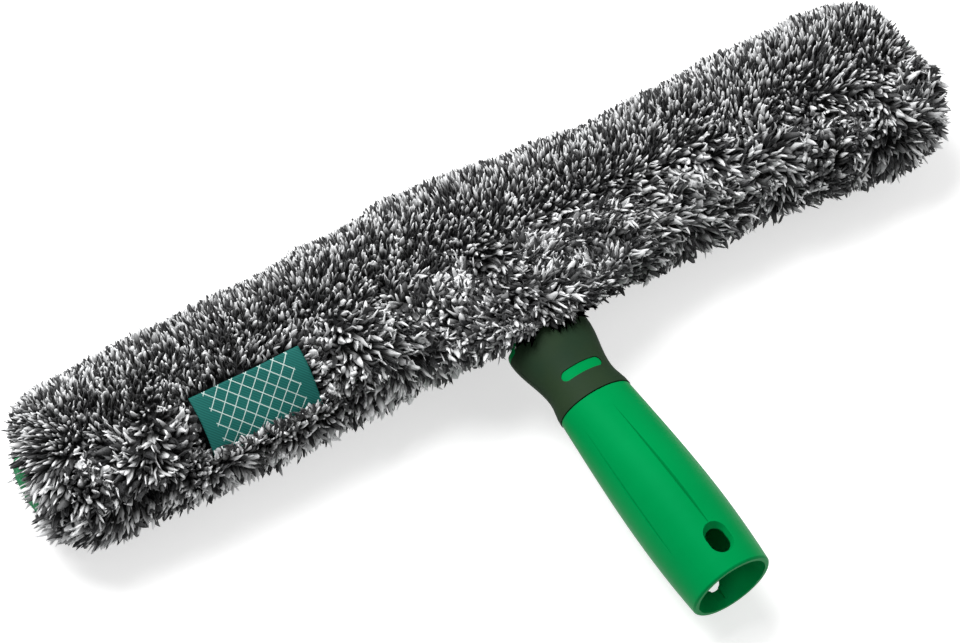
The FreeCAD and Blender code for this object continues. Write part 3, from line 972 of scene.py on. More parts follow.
    def pocket(self, x: np.ndarray, angle: np.ndarray) -> tuple[np.ndarray, np.ndarray]:
        """Offsets from the middle of the hollow near the right end, in shares of its half sizes.

        Args:
            x: Places along X.
            angle: Angles round the section.

        Returns:
            The share along X, and the share round the section.
        """
        along, across = self.pocket_half
        return (x - self.pocket_place) / along, (angle - self.pocket_angle) * self.mean_radius / across

    def sink(self, x: np.ndarray, angle: np.ndarray) -> np.ndarray:
        """How far the pile is drawn in at its parting, in a shallower fold to the right and in the hollow.

        Args:
            x: Places along X.
            angle: Angles round the section.

        Returns:
            Depths, which fall off across each of them as a bell curve.
        """
        off, marked = self.valley(x, angle)
        parting = self.parting_depth * np.sqrt(marked) * bell(off, self.parting_half)
        fold = self.fold_depth * bell((angle - self.fold_angle) * self.mean_radius, self.fold_half)
        fold = fold * ramp(x, *self.fold_left) * ramp(x, *self.fold_right)
        return parting + fold + self.pocket_depth * bell(np.hypot(*self.pocket(x, angle)), 1.0)

    def clear_neck(self, points: np.ndarray) -> np.ndarray:
        """Pushes points out of the round space that the neck sweeps, those near its front forwards.

        Args:
            points: Places, with coordinates along the last axis.

        Returns:
            The places, none of them within both the radius and the depth of the sweep.
        """
        centre = np.array([0.0, self.pivot])
        off = points[..., :2] - centre
        distance = np.linalg.norm(off, axis=-1)
        within = (np.abs(points[..., 2]) < self.sweep_depth) & (distance < self.sweep_radius)
        front = within & (points[..., 2] > self.sweep_front * self.sweep_depth)
        moved = centre + off * (self.sweep_radius / np.maximum(distance, 1e-9))[..., None]
        result = points.copy()
        result[..., :2] = np.where((within & ~front)[..., None], moved, points[..., :2])
        result[..., 2] = np.where(front, self.sweep_depth, points[..., 2])
        return result

    def in_slit(self, points: np.ndarray) -> np.ndarray:
        """Whether places lie in the opening that the stem of the bar comes through.

        Args:
            points: Places, with coordinates along the last axis.

        Returns:
            One answer for each place.
        """
        long, wide = self.slit_half
        below = points[..., 1] < self.bar_line
        return below & (np.abs(points[..., 0]) < long) & (np.abs(points[..., 2]) < wide)


@dataclass
class SewnLabel:
    """The woven label that lies on the lower left of the front."""

    form: SleeveForm
    low_x: float = -135.05 * MM
    high_x: float = -90.55 * MM
    width: float = 23.0 * MM
    curve_extra: float = 0.7 * MM  # the label is this much wider over the curve of the pile
    tilt: float = math.radians(44.0)
    lift: float = 0.75 * MM
    thickness: float = 0.45 * MM
    ripple: float = 0.35 * MM
    ripple_length: float = 21.0 * MM
    rows: int = 49
    columns: int = 27
    lap_margin: float = 0.4 * MM
    lap_below: float = 2.0 * MM
    lap_above: float = 0.8 * MM

    @property
    def length(self) -> float:
        """Length of the label, along X."""
        return self.high_x - self.low_x

    @property
    def slope(self) -> tuple[float, float]:
        """Sine and cosine of the label's tilt."""
        return math.sin(self.tilt), math.cos(self.tilt)

    def local(self, points: np.ndarray) -> tuple[np.ndarray, np.ndarray, np.ndarray]:
        """Places as seen by the label.

        Args:
            points: Places, with coordinates along the last axis.

        Returns:
            Distances from its middle along it, across it, and out of the bar's line.
        """
        sine, cosine = self.slope
        y, z = points[..., 1] - self.form.bar_line, points[..., 2]
        along = points[..., 0] - (self.low_x + self.high_x) / 2
        return along, y * cosine + z * sine, -y * sine + z * cosine

    def at(self, x: np.ndarray, across: np.ndarray, outward: np.ndarray) -> np.ndarray:
        """Turns the label's own coordinates back into places.

        Args:
            x: Places along X.
            across: Places across the label.
            outward: Distances out of the bar's line.

        Returns:
            Places, with coordinates along the last axis.
        """
        sine, cosine = self.slope
        y = self.form.bar_line + across * cosine - outward * sine
        return places_at(x, y, across * sine + outward * cosine)

    def gap(self, points: np.ndarray) -> np.ndarray:
        """How far places are outside the label's outline, and inside it where negative.

        Args:
            points: Places, with coordinates along the last axis.

        Returns:
            Distances, and a metre for places behind the bar's line.
        """
        along, across, outward = self.local(points)
        beside = np.maximum(np.abs(along) - self.length / 2, np.abs(across) - self.width / 2)
        return np.where(outward > 0, beside, 1.0)

    def level(self, x: np.ndarray, across: np.ndarray, grow: np.ndarray | float) -> np.ndarray:
        """How far out the pile's oval is, grown by a distance, on a line square to the label's chord.

        The line meets the oval where a quadratic is zero; its positive root is the distance.

        Args:
            x: Places along X.
            across: Places across the label.
            grow: How much the oval is grown.

        Returns:
            Distances from the plane through the bar's line.
        """
        middle, height = self.form.section(x)
        a, b = height + grow, self.form.half_depth + grow
        sine, cosine = self.slope
        start = self.form.bar_line - middle + across * cosine
        square = (sine / a) ** 2 + (cosine / b) ** 2
        half = across * sine * cosine / b**2 - start * sine / a**2
        rest = (start / a) ** 2 + (across * sine / b) ** 2 - 1
        return (-half + np.sqrt(np.maximum(half**2 - square * rest, 0.0))) / square

    def lift_over(self, rings: np.ndarray) -> np.ndarray:
        """Lifts yarn that laps over the label, ring by ring, to just above its face.

        Args:
            rings: Places by tuft, level, point round the tuft and coordinate.

        Returns:
            The places, with every ring over the label moved out where the tuft's tip is near its face.
        """
        middle = rings.mean(axis=-2, keepdims=True)
        _, across, outward = self.local(middle)
        near = np.clip(across, -self.width, self.width)
        face = self.level(middle[..., 0], near, self.lift + self.thickness)
        over = self.gap(middle) < self.lap_margin
        laps = (over & (outward > face - self.lap_below))[:, -1:]
        raised = np.where(over & laps, np.maximum(face + self.lap_above - outward, 0.0), 0.0)
        sine, cosine = self.slope
        return rings + raised[..., None] * np.array([0.0, -sine, cosine])

    def build(self) -> bpy.types.Object:
        """Builds the label as a grid laid on the oval of the pile, with shallow ripples of noise.

        Returns:
            The label.
        """
        x, across = np.meshgrid(
            np.linspace(self.low_x, self.high_x, self.rows),
            np.linspace(-self.width / 2, self.width / 2, self.columns),
            indexing="ij",
        )
        ripple = self.ripple * wave_noise(places_at(x, across, 0 * x), self.ripple_length, seed=5)
        points = self.at(x, across, self.level(x, across, self.lift + ripple))
        row, column = np.meshgrid(np.arange(self.rows - 1), np.arange(self.columns - 1), indexing="ij")
        corner = row * self.columns + column
        quads = np.stack([corner, corner + self.columns, corner + self.columns + 1, corner + 1], axis=-1)
        quads = quads.reshape(-1, 4)
        label = make_piece("sewn_label_tape", points.reshape(-1, 3), [quads])
        tape = label.data.uv_layers.new(name=TAPE_MAP)
        flat = np.stack([(x - self.low_x) / MM, (across + self.width / 2) / MM], axis=-1).reshape(-1, 2)
        tape.data.foreach_set("uv", flat[quads.ravel()].astype(np.float32).ravel())
        wall = label.modifiers.new("cloth_thickness", "SOLIDIFY")
        wall.thickness = self.thickness
        wall.offset = 1.0
        finish = WovenLabelTape("woven_teal_label_tape", length_mm=self.length / MM)
        add_piece(label, finish.make(), "head", "woven_label", "sewn_label")
        return label


@dataclass
class SleeveCloth:
    """The cloth of the sleeve: the pile's backing, fleece lining, closing tapes and bound opening."""

    form: SleeveForm
    backing_depth: float = 4.8 * MM
    backing_grid: tuple[int, int] = (260, 144)
    pole_skip: int = 8  # points of the outline left out at each end, where rings shrink away
    core_skin: float = 4.0 * MM
    core_grid: tuple[int, int] = (40, 48)
    core_turn: float = 1.35  # angle from its middle at which the overhang's cloth ends
    slab_grid: tuple[int, int] = (90, 48)
    slab_end_power: float = 40.0
    lining_power: float = 5.0
    tape_power: float = 8.0
    band: float = 1.6 * MM
    band_grid: tuple[int, int] = (96, 14)
    knit: KnitBacking = KnitBacking("warp_knit_backing")
    fleece: BrushedCloth = BrushedCloth("needled_grey_fleece")
    tape: BrushedCloth = BrushedCloth("black_hook_and_loop_tape", "#222326", "#0e0f10", 1.0)
    binding: BrushedCloth = BrushedCloth("black_woven_binding", "#2a2b2e", "#17181a", 0.8)

    def build_backing(self) -> None:
        """Builds the cloth under the yarn: the sleeve's form, drawn in, with the opening for the stem."""
        x, share, rise, _ = self.form.meridian()
        count, columns = self.backing_grid
        rows = np.linspace(self.pole_skip, len(x) - 1 - self.pole_skip, count).astype(int)
        parts = [part[rows][:, None] for part in (x, share, rise)]
        x, share, rise, angle = np.broadcast_arrays(*parts, full_turn(columns))
        places, normals = self.form.surface(x, share, rise, angle)
        depth = self.backing_depth + self.form.sink_share * self.form.sink(x, wrapped(angle))
        places = self.form.clear_neck(places - normals * depth[..., None])
        material = self.knit.make()
        backing = closed_body("pile_backing", places, self.form.in_slit(places))
        for piece in (backing, self.overhang_core()):
            add_piece(piece, material, "head", "mixed_pile", "sleeve_pile")

    def overhang_core(self) -> bpy.types.Object:
        """Builds the cloth in the overhang: half an ellipsoid, flat where it faces the neck.

        Returns:
            The cloth.
        """
        long, high, deep = self.form.overhang_half
        rows, columns = self.core_grid
        turn = np.linspace(-self.core_turn, self.core_turn, rows)[:, None]
        angle = full_turn(columns)
        rings = places_at(
            long * np.sin(turn),
            self.form.overhang_line - (high - self.core_skin) * np.cos(turn) * np.sin(angle),
            self.form.sweep_depth + np.maximum((deep - self.core_skin) * np.cos(turn) * np.cos(angle), 0.0),
        )
        return closed_body("pile_backing_front", rings)

    def rounded_slab(self, name: str, node: str, power: float, is_open: bool = False) -> bpy.types.Object:
        """A box with soft edges: superellipse sections along X, which draw in at both ends.

        Args:
            name: Name of the piece.
            node: The CAD node whose box it fills.
            power: Of the superellipse; a high one is squarer.
            is_open: Whether the opening for the stem is left out.

        Returns:
            The object.
        """
        middle, half = middle_and_half(node)
        rows, columns = self.slab_grid
        along = signed_power(np.sin(np.linspace(-1, 1, rows) * np.pi / 2), 0.5)[:, None]
        soft = np.maximum(1 - np.abs(along) ** self.slab_end_power, 1e-4) ** (1 / 3)
        angle = full_turn(columns)
        rings = places_at(
            middle[0] + half[0] * along,
            middle[1] - half[1] * soft * signed_power(np.sin(angle), 2 / power),
            middle[2] + half[2] * soft * signed_power(np.cos(angle), 2 / power),
        )
        return closed_body(name, rings, self.form.in_slit(rings) if is_open else None)

    def build_inside(self) -> None:
        """Builds the fleece bag round the bar, the two tapes in the sleeve's hem and the bound opening."""
        lining = self.rounded_slab("fleece_lining", "sleeve_lining", self.lining_power, True)
        add_piece(lining, self.fleece.make(), "head", "grey_fleece", "sleeve_lining")
        material = self.tape.make()
        for node in ("loop_tape", "hook_tape"):
            tape = self.rounded_slab(f"{node}_strip", node, self.tape_power)
            add_piece(tape, material, "head", "closing_tape", node)
        self.build_binding()

    def build_binding(self) -> None:
        """Builds the bound edge of the opening: an oval band carried round a stadium-shaped path."""
        middle, half = middle_and_half("opening_binding")
        rows, columns = self.band_grid
        turn, spin = full_turn(rows), full_turn(columns)[:, None]
        out = places_at(np.cos(turn), 0 * turn, np.sin(turn))
        path = middle + out * (half[2] - self.band)
        path[:, 0] += (half[0] - half[2]) * np.sign(np.cos(turn))
        rings = path[:, None] + self.band * out[:, None] * np.cos(spin)
        rings[..., 1] -= half[1] * np.sin(spin[:, 0])
        quads = tube_quads(rows + 1, columns) % (rows * columns)
        piece = make_piece("bound_opening", rings.reshape(-1, 3), [quads])
        add_piece(piece, self.binding.make(), "head", "binding_tape", "opening_binding")


@dataclass(frozen=True)
class Roots:
    """Where the tufts stand, as arrays with a row for each: the lot is a tuft's own random number."""

    x: np.ndarray
    angle: np.ndarray
    share: np.ndarray
    place: np.ndarray
    normal: np.ndarray
    lot: np.ndarray


@dataclass
class PileYarn:
    """The cut yarn of the pile: tens of thousands of tufts, combed as they lie on the tool."""

    form: SleeveForm
    label: SewnLabel
    finish: CutYarnPile = CutYarnPile("cut_black_and_white_yarn")
    seed: int = 2024
    tufts: int = 34000
    front_tufts: int = 2600
    front_angles: tuple[float, float] = (0.5, 1.25)
    order_jitter: float = 0.3
    angle_jitter: float = 0.012
    place_jitter: float = 0.35 * MM
    label_margin: float = 0.2 * MM
    pieces: int = 9
    # a tuft's rings from root to tip, and its girth there with a blunt and with a leaf-shaped end
    sides: int = 5
    levels: tuple[float, ...] = (0.0, 0.12, 0.5, 0.78, 0.94, 1.0)
    blunt: tuple[float, ...] = (0.0, 0.8, 1.25, 1.05, 0.72, 0.0)
    leaf: tuple[float, ...] = (0.0, 0.7, 1.2, 1.05, 0.4, 0.0)
    half_width: tuple[float, float] = (0.38 * MM, 0.92 * MM)
    girth_span: tuple[float, float] = (0.7, 1.2)
    ruffled_widening: float = 0.9
    flatness: float = 0.5
    bend: float = 1.0 * MM
    cell_margin: float = 0.06
    root_depth: float = 7.5 * MM
    floor_gap: float = 0.05 * MM
    pad_half_height: float = 12.0 * MM
    pad_half_depth: float = 9.0 * MM
    pad_margin: float = 1.04
    # angles between which the pile starts and stops being ruffled
    ruffle_start: tuple[float, float] = (0.1, 0.45)
    ruffle_end: tuple[float, float] = (2.3, 1.9)
    # heights of the tips
    stand: float = 1.0 * MM
    stand_spread: float = 0.45 * MM
    swell: float = 0.6 * MM
    swell_length: float = 24.0 * MM
    ruffled_rise: float = 1.8 * MM
    wisp_rise: float = 3.0 * MM
    wisp_share: float = 0.06
    left_rim_rise: float = 2.2 * MM
    right_rim_rise: float = 0.9 * MM
    parting_drop: float = 3.0 * MM
    parting_half: float = 3.2 * MM
    lower_drop: float = 1.5 * MM
    least_height: float = 3.0 * MM
    droop: float = 0.3
    trim_places: tuple[float, ...] = (-0.170, -0.115, -0.080, -0.036, -0.010, 0.040, 0.110, 0.155)
    trim_heights: tuple[float, ...] = (-0.0012, -0.0002, 0.0006, -0.0010, 0.0016, -0.0002, 0.0, 0.0014)
    # sideways offsets of the tips
    upright_lean: float = 0.9 * MM
    ruffled_lean: float = 5.6 * MM
    lean_spread: float = 0.9 * MM
    course_length: float = 36.0 * MM
    course_swing: float = 1.5
    course_spread: float = 0.5
    course_left: float = 2.2  # directions, from +X towards the handle
    course_right: float = 0.5
    reach_span: tuple[float, float] = (0.35, 1.4)
    parted_half: float = 8.0 * MM
    parted_lean: tuple[float, float] = (0.6 * MM, -5.0 * MM)  # below the parting, and above it
    left_end: tuple[float, float] = (-135.0 * MM, -155.0 * MM)
    left_end_lean: float = 2.5 * MM
    pocket_lean: float = 5.0 * MM
    # tufts round the label, by their distance from it
    label_lean: float = 1.5 * MM
    label_near: float = 2.8 * MM
    label_far: float = 9.8 * MM
    lap_start: float = 1.2 * MM
    lap_full: float = 7.0 * MM
    lap_end: float = 13.0 * MM
    lap_reach: float = 4.4 * MM
    lap_span: tuple[float, float] = (0.75, 1.2)
    lap_stand: float = 2.6 * MM
    # tones, from 0 for black to 1 for white
    black_below: float = 0.455
    grey_below: float = 0.555
    black_span: tuple[float, float] = (0.0, 0.07)
    grey_span: tuple[float, float] = (0.12, 0.5)
    white_span: tuple[float, float] = (0.86, 1.0)
    clump: float = 0.08
    clump_length: float = 10.0 * MM
    # painted shade: more black tufts on the ruffled front, most of all in its middle
    ruffled_shade: float = 0.04
    ruffled_shade_middle: float = 0.07
    ruffled_shade_reach: float = 60.0 * MM
    # painted light at the left of the rolled lower edge and painted shade at its right, as shifts in tone
    rolled_span: tuple[float, float] = (-20.0 * MM, 30.0 * MM)
    rolled_light_and_shade: tuple[float, float] = (0.14, -0.14)
    # painted shade in the parting, the fold and the hollow, full where they sink this deep
    fold_shade: float = 0.5
    fold_depth: float = 5.0 * MM
    ply: float = 0.2
    ply_twist: float = 2.4

    def build(self) -> None:
        """Builds the tufts, in slices along the sleeve that are pieces of their own."""
        random = np.random.default_rng(self.seed)
        root = self.roots(random)
        rings = self.rings(root, random)
        whiteness = self.whiteness(root, random)
        order = np.argsort(root.x, kind="stable")
        material = self.finish.make()
        for number, part in enumerate(np.array_split(order, self.pieces)):
            self.build_slice(f"pile_yarn_{number + 1}", rings[part], whiteness[part], material)

    def ruffled(self, angle: np.ndarray) -> np.ndarray:
        """How ruffled the pile is round the sleeve: one on the lower front, nought elsewhere."""
        return ramp(angle, *self.ruffle_start) * ramp(angle, *self.ruffle_end)

    def roots(self, random: np.random.Generator) -> Roots:
        """Picks the places of the tufts, evenly over the form.

        The tufts follow a spiral: each takes an equal share of the area from the left end to the
        right one and turns on by the golden angle. Seeded jitter then hides the spiral. More are
        strewn over the overhang, which is stretched out from the plain form.

        Args:
            random: Source of the jitter.

        Returns:
            The tufts that no pad, label or opening takes the place of.
        """
        x, share, rise, step = self.form.meridian()
        marks = np.arange(len(x))
        area = np.cumsum(np.maximum(share, 0.02) * step)
        number = np.arange(self.tufts) + random.uniform(-self.order_jitter, self.order_jitter, self.tufts)
        spot = np.interp((number + 0.5) / self.tufts * area[-1], area, marks)
        golden = np.pi * (3 - math.sqrt(5))
        angle = wrapped(np.arange(self.tufts) * golden + random.normal(0, self.angle_jitter, self.tufts))
        x, share, rise = (np.interp(spot, marks, part) for part in (x, share, rise))
        x = x + random.normal(0, self.place_jitter, self.tufts) * (share > 0.99)
        front_x = random.uniform(-1.0, 1.0, self.front_tufts) * self.form.overhang_half[0]
        x = np.concatenate([x, front_x])
        share = np.concatenate([share, np.ones_like(front_x)])
        rise = np.concatenate([rise, np.zeros_like(front_x)])
        angle = np.concatenate([angle, random.uniform(*self.front_angles, self.front_tufts)])
        places, normals = self.form.overhang(*self.form.surface(x, share, rise, angle))
        y = (places[:, 1] - self.form.bar_line) / self.pad_half_height
        z = places[:, 2] / self.pad_half_depth
        on_pad = (share < 0.6) & (np.hypot(y, z) < self.pad_margin)
        kept = ~(on_pad | self.form.in_slit(places) | (self.label.gap(places) < self.label_margin))
        lot = random.uniform(size=kept.sum())
        return Roots(x[kept], angle[kept], share[kept], places[kept], normals[kept], lot)

    def heights(self, root: Roots, random: np.random.Generator) -> np.ndarray:
        """How high each tuft stands before it is combed.

        Heights swell with slow noise and differ more on the lower front. At the ends they slant, with
        a few long wisps, and beside the two pads they are raised. In the parting they are lower.

        Args:
            root: The tufts' places.
            random: Source of their differences.

        Returns:
            Heights from root to tip.
        """
        x, angle, share, ruffled = root.x, root.angle, root.share, self.ruffled(root.angle)
        height = random.normal(0, self.stand_spread, len(x)) * (1 + 2 * ruffled)
        height += self.root_depth + self.stand + self.ruffled_rise * ruffled
        height += self.swell * wave_noise(root.place, self.swell_length, seed=13)
        # both ends are longer towards the handle, and the right one is shorter as a whole
        slant = np.where(x < 0, 0.7 + np.sin(angle), -1.3 + 1.7 * np.sin(angle - 0.7)) * MM
        wisps = self.wisp_rise * (random.uniform(size=len(x)) < self.wisp_share)
        height += (slant + wisps) * ramp(share, 0.97, 0.67) + self.trim(x, angle)
        left_rim = ramp(share, 0.8, 0.65) * (x < 0) * (np.abs(angle - 0.7) < 1.1)
        right_rim = ramp(share, 0.85, 0.7) * (x > 0) * (np.abs(angle + 0.6) < 0.7)
        off, marked = self.form.valley(x, angle)
        parting = np.sqrt(marked) * bell(off, self.parting_half)
        return (
            height
            + self.left_rim_rise * left_rim
            + self.right_rim_rise * right_rim
            - self.parting_drop * parting
        )

    def trim(self, x: np.ndarray, angle: np.ndarray) -> np.ndarray:
        """How unevenly the pile is shorn: by steps along its upper edge, and closer along its lower one.

        Args:
            x: Places along X.
            angle: Angles round the section.

        Returns:
            What is added to the height of the tufts.
        """
        upper = ramp(angle, -0.35, -0.65) * ramp(angle, -2.2, -1.8)
        steps = np.interp(x, self.trim_places, self.trim_heights)
        return steps * upper - self.lower_drop * bell(angle - 2.0, 0.35)

    def sway(self, root: Roots, random: np.random.Generator) -> tuple[np.ndarray, np.ndarray]:
        """How far each tip is combed sideways by the form alone.

        The back and the upper face stand nearly upright. On the lower front the tufts lie over, in
        directions that turn with slow noise. Tufts beside the parting and the hollow lie away from
        them, and those of the left end lie outward.

        Args:
            root: The tufts' places.
            random: Source of their differences.

        Returns:
            Offsets along the sleeve and round it.
        """
        x, angle, ruffled = root.x, root.angle, self.ruffled(root.angle)
        count = len(x)
        course = self.course_swing * wave_noise(root.place, self.course_length, seed=11)
        course += random.normal(0, self.course_spread, count)
        course += np.where(x > 0, self.course_right, self.course_left)
        reach = (self.upright_lean + self.ruffled_lean * ruffled) * random.uniform(*self.reach_span, count)
        side_x = reach * np.cos(course) + random.normal(0, self.lean_spread, count)
        side_y = reach * np.sin(course) + random.normal(0, self.lean_spread, count)
        off, marked = self.form.valley(x, angle)
        parted = np.sqrt(marked) * bell(off, self.parted_half)
        side_x = side_x * (1 - 0.7 * parted) - self.left_end_lean * ruffled * ramp(x, *self.left_end)
        side_y = side_y * (1 - 0.8 * parted) + np.where(off > 0, *self.parted_lean) * parted
        pocket_x, pocket_y = self.form.pocket(x, angle)
        pocket = self.pocket_lean * np.exp(-0.4 * (pocket_x**2 + pocket_y**2))
        return side_x + pocket * pocket_x, side_y + pocket * pocket_y

    def comb(self, root: Roots, random: np.random.Generator) -> tuple[np.ndarray, np.ndarray]:
        """How each tuft stands in the end, with those round the label combed away from it.

        Those under the label's lower edge lap over it instead. A tuft that leans further is lower.

        Args:
            root: The tufts' places.
            random: Source of their differences.

        Returns:
            Rise of each tip over its root, and its sideways offset.
        """
        height = self.heights(root, random)
        side_x, side_y = self.sway(root, random)
        gap = self.label.gap(root.place)
        along_label, across_label, _ = self.label.local(root.place)
        below = across_label < -self.label.width / 2
        beside = ramp(gap, self.label_far, self.label_near)
        side_x = side_x * (1 - beside) + self.label_lean * beside * np.sign(along_label) * (~below)
        side_y = side_y * (1 - beside) + self.label_lean * beside * np.where(below, 0.5, -1.0)
        lap = ramp(gap, self.lap_end, self.lap_full) * (below & (gap > self.lap_start))
        reach = self.lap_reach + 0.75 * np.minimum(gap, self.lap_full)
        reach = reach * random.uniform(*self.lap_span, len(gap))
        side_x = side_x * (1 - 0.6 * lap)
        side_y = side_y * (1 - lap) - reach * lap
        along = unit(np.array([1.0, 0.0, 0.0]) - root.normal * root.normal[:, :1])
        lean = along * side_x[:, None] + np.cross(along, root.normal) * side_y[:, None]
        height = np.maximum(height - self.droop * np.linalg.norm(lean, axis=1), self.least_height)
        return height + (self.root_depth + self.lap_stand - height) * lap, lean

    def rings(self, root: Roots, random: np.random.Generator) -> np.ndarray:
        """Shapes the tufts as slim spindles along bent lines.

        A tuft's line leaves the backing square and bends sideways with the square of its length. It
        also bows by half a sine wave and kinks by a whole one, most on the lower front. Its section
        is a flat oval, thickest about its middle, and its end is between blunt and leaf-shaped.

        Args:
            root: The tufts' places.
            random: Source of their differences.

        Returns:
            Places by tuft, level, point round the tuft and coordinate.
        """
        count, levels, ruffled = len(root.x), np.array(self.levels), self.ruffled(root.angle)
        height, lean = self.comb(root, random)
        depth = self.root_depth + self.form.sink_share * self.form.sink(root.x, root.angle)
        blunt, leaf = np.array(self.blunt), np.array(self.leaf)
        girth = blunt + (leaf - blunt) * random.uniform(size=(count, 1))
        girth = girth * random.uniform(*self.girth_span, girth.shape)
        aside = np.cross(root.normal, unit(lean)) * (0.3 + 0.7 * ruffled)[:, None]
        bow, kink = random.normal(0, self.bend, (2, count, 1))
        waves = bow * np.sin(np.pi * levels) + kink * np.sin(2 * np.pi * levels)
        line = (
            (root.place - root.normal * depth[:, None])[:, None]
            + root.normal[:, None] * (height[:, None] * levels)[..., None]
            + lean[:, None] * (levels**2)[:, None]
            + aside[:, None] * waves[..., None]
        )
        course = unit(root.normal[:, None] * height[:, None, None] + 2 * lean[:, None] * levels[:, None])
        wide = unit(np.cross(course, unit(random.normal(size=(count, 3)))[:, None]))
        thin = np.cross(course, wide) * self.flatness
        width = random.uniform(*self.half_width, count)
        width = width * (1 + random.uniform(0.0, self.ruffled_widening, count) * ruffled)
        turn = full_turn(self.sides)[:, None]
        around = wide[:, :, None] * np.cos(turn) + thin[:, :, None] * np.sin(turn)
        rings = line[:, :, None] + (width[:, None] * girth)[..., None, None] * around
        rings = self.label.lift_over(self.form.clear_neck(rings))
        rings[..., 2] = np.maximum(rings[..., 2], self.form.floor + self.floor_gap)
        return rings

    def whiteness(self, root: Roots, random: np.random.Generator) -> np.ndarray:
        """How white the yarn is: a share of the tufts black, a share grey and the rest nearly white.

        Tones gather in small clumps. The ruffled front has more black tufts, most of all in its middle,
        as painted shade. The rolled lower edge has more white tufts at the left, as painted light, and
        more black ones at the right, as painted shade, and the folds get painted shade. A lighter and a
        darker side twist round each tuft.

        Args:
            root: The tufts' places.
            random: Source of their differences.

        Returns:
            Tones from 0 to 1, by tuft, level and point round the tuft.
        """
        x, angle, count = root.x, root.angle, len(root.x)
        # painted shade on the ruffled front, as a shift towards black tufts
        ruffled_shade = self.ruffled_shade + self.ruffled_shade_middle * bell(x, self.ruffled_shade_reach)
        lot = root.lot + self.clump * wave_noise(root.place, self.clump_length, seed=17)
        lot -= ruffled_shade * self.ruffled(angle)
        # painted light and shade on the rolled lower edge: more white tufts at the left, more black ones at
        # the right
        rolled = ramp(angle, 1.15, 1.4) * (angle < 2.4)
        lot += np.interp(x, self.rolled_span, self.rolled_light_and_shade) * rolled
        spans = (self.black_span, self.grey_span, self.white_span)
        black, grey, white = (random.uniform(*span, count) for span in spans)
        tone = np.select([lot < self.black_below, lot < self.grey_below], [black, grey], white)
        # painted shade: tufts darken where the pile sinks into its folds
        tone = tone * (1 - self.fold_shade * ramp(self.form.sink(x, angle), 0.0, self.fold_depth))
        twist = full_turn(self.sides) + self.ply_twist * np.array(self.levels)[:, None]
        ply = self.ply * np.sin(twist + random.uniform(0, 2 * np.pi, (count, 1, 1)))
        tone = tone[:, None, None]
        return np.clip(tone + ply * (0.4 + tone), 0, 1)

    def build_slice(
        self, name: str, rings: np.ndarray, whiteness: np.ndarray, material: bpy.types.Material
    ) -> None:
        """Builds one slice of the yarn, with its tone attribute and a map with a cell for each tuft.

        Args:
            name: Name of the piece.
            rings: Places by tuft, level and side, where the first and last levels are poles.
            whiteness: Tone at each of those places.
            material: The yarn's material.
        """
        count, rows, sides, _ = rings.shape
        points = rows * sides
        used = np.concatenate([np.arange(sides, points - sides), [0, points - sides]])
        start = (np.arange(count) * len(used))[:, None, None]
        groups = (tube_quads(rows - 2, sides), pole_fans(rows - 2, sides))
        faces = [(group + start).reshape(-1, group.shape[1]) for group in groups]
        piece = make_piece(name, rings.reshape(count, points, 3)[:, used].reshape(-1, 3), faces)
        tone = whiteness.reshape(count, points)[:, used]
        level = np.broadcast_to(np.repeat(self.levels, sides)[used], tone.shape)
        colours = np.stack([tone, level, np.zeros_like(tone), np.ones_like(tone)], axis=-1)
        mark = piece.data.color_attributes.new(YARN, "FLOAT_COLOR", "POINT")
        mark.data.foreach_set("color", colours.astype(np.float32).ravel())
        self.map_cells(piece, count)
        add_piece(piece, material, "head", "mixed_pile")

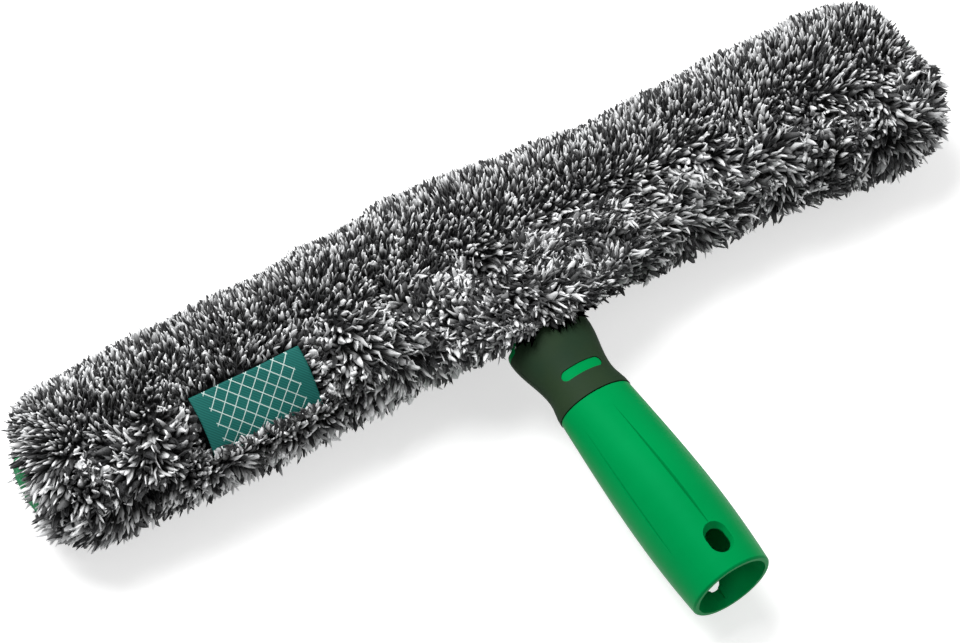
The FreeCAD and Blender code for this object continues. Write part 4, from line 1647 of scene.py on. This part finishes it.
    def map_cells(self, piece: bpy.types.Object, count: int) -> None:
        """Lays each tuft out in a cell of its own: round the tuft across the cell, root to tip up it.

        Args:
            piece: The slice of yarn.
            count: Its tufts.
        """
        levels, side = np.array(self.levels), np.arange(self.sides)
        ring, spot = np.meshgrid(np.arange(1, len(levels) - 2), side, indexing="ij")
        low, high = levels[ring], levels[ring + 1]
        quads = np.array([(spot, low), (spot + 1, low), (spot + 1, high), (spot, high)])
        root, first, last, tip = (np.full(self.sides, levels[row]) for row in (0, 1, -2, -1))
        root_fan = np.array([(side + 1, first), (side, first), (side + 0.5, root)])
        tip_fan = np.array([(side, last), (side + 1, last), (side + 0.5, tip)])
        fans = np.concatenate([root_fan, tip_fan], axis=-1)
        cells = math.ceil(math.sqrt(count))
        corner = np.stack([np.arange(count) % cells, np.arange(count) // cells], axis=-1)[:, None]
        corner = corner + self.cell_margin
        inner = (1 - 2 * self.cell_margin) / np.array([self.sides, 1])
        groups = (quads.transpose(2, 3, 0, 1), fans.transpose(2, 0, 1))
        spread = [((corner + inner * group.reshape(-1, 2)) / cells).ravel() for group in groups]
        layer = piece.data.uv_layers.new(name=BAKE_MAP)
        layer.data.foreach_set("uv", np.concatenate(spread).astype(np.float32))


@dataclass
class EndPad:
    """A scouring pad sewn to one end of the sleeve."""

    side: Side
    felt: bpy.types.Material
    bulge: float = 0.9 * MM
    rough: float = 0.35 * MM
    rough_length: float = 2.4 * MM
    rim_power: float = 0.35
    face_power: float = 0.6
    rows: int = 38
    columns: int = 96

    def build(self) -> bpy.types.Object:
        """Builds the pad as an oval cushion of felt.

        Its outline runs from the middle of the inner face round the rim to the middle of the outer
        one and is carried round an oval; fine noise roughens it outward.

        Returns:
            The pad.
        """
        node = f"end_pad_{self.side.name.lower()}"
        middle, half = middle_and_half(node)
        turn = np.linspace(-np.pi / 2, np.pi / 2, self.rows + 2)[1:-1, None]
        wide = np.cos(turn) ** self.rim_power
        thick = signed_power(np.sin(turn), self.face_power)
        angle = full_turn(self.columns) * self.side.value
        rings = places_at(
            middle[0] + self.side.value * (half[0] * thick + self.bulge * (1 - wide**2) * (thick > 0)),
            middle[1] + half[1] * wide * np.cos(angle),
            middle[2] + half[2] * wide * np.sin(angle),
        )
        rough = self.rough * wave_noise(rings, self.rough_length, seed=31)
        rings += rough[..., None] * unit(rings - middle)
        pad = closed_body(f"scouring_{node}", rings)
        add_piece(pad, self.felt, "head", "green_scouring_pad", node)
        return pad


def main() -> None:
    """Builds the studio and every piece of the tool, in order."""
    logging.basicConfig(level=logging.INFO, format="%(name)s: %(message)s")
    bpy.context.scene.view_settings.view_transform = "Standard"
    Studio().build()
    Handle().build()
    form = SleeveForm()
    label = SewnLabel(form)
    cloth = SleeveCloth(form)
    cloth.build_backing()
    PileYarn(form, label).build()
    cloth.build_inside()
    label.build()
    felt = NonwovenScourer("bonded_green_scouring_felt").make()
    for side in Side:
        EndPad(side, felt).build()


if __name__ == "__main__":
    main()
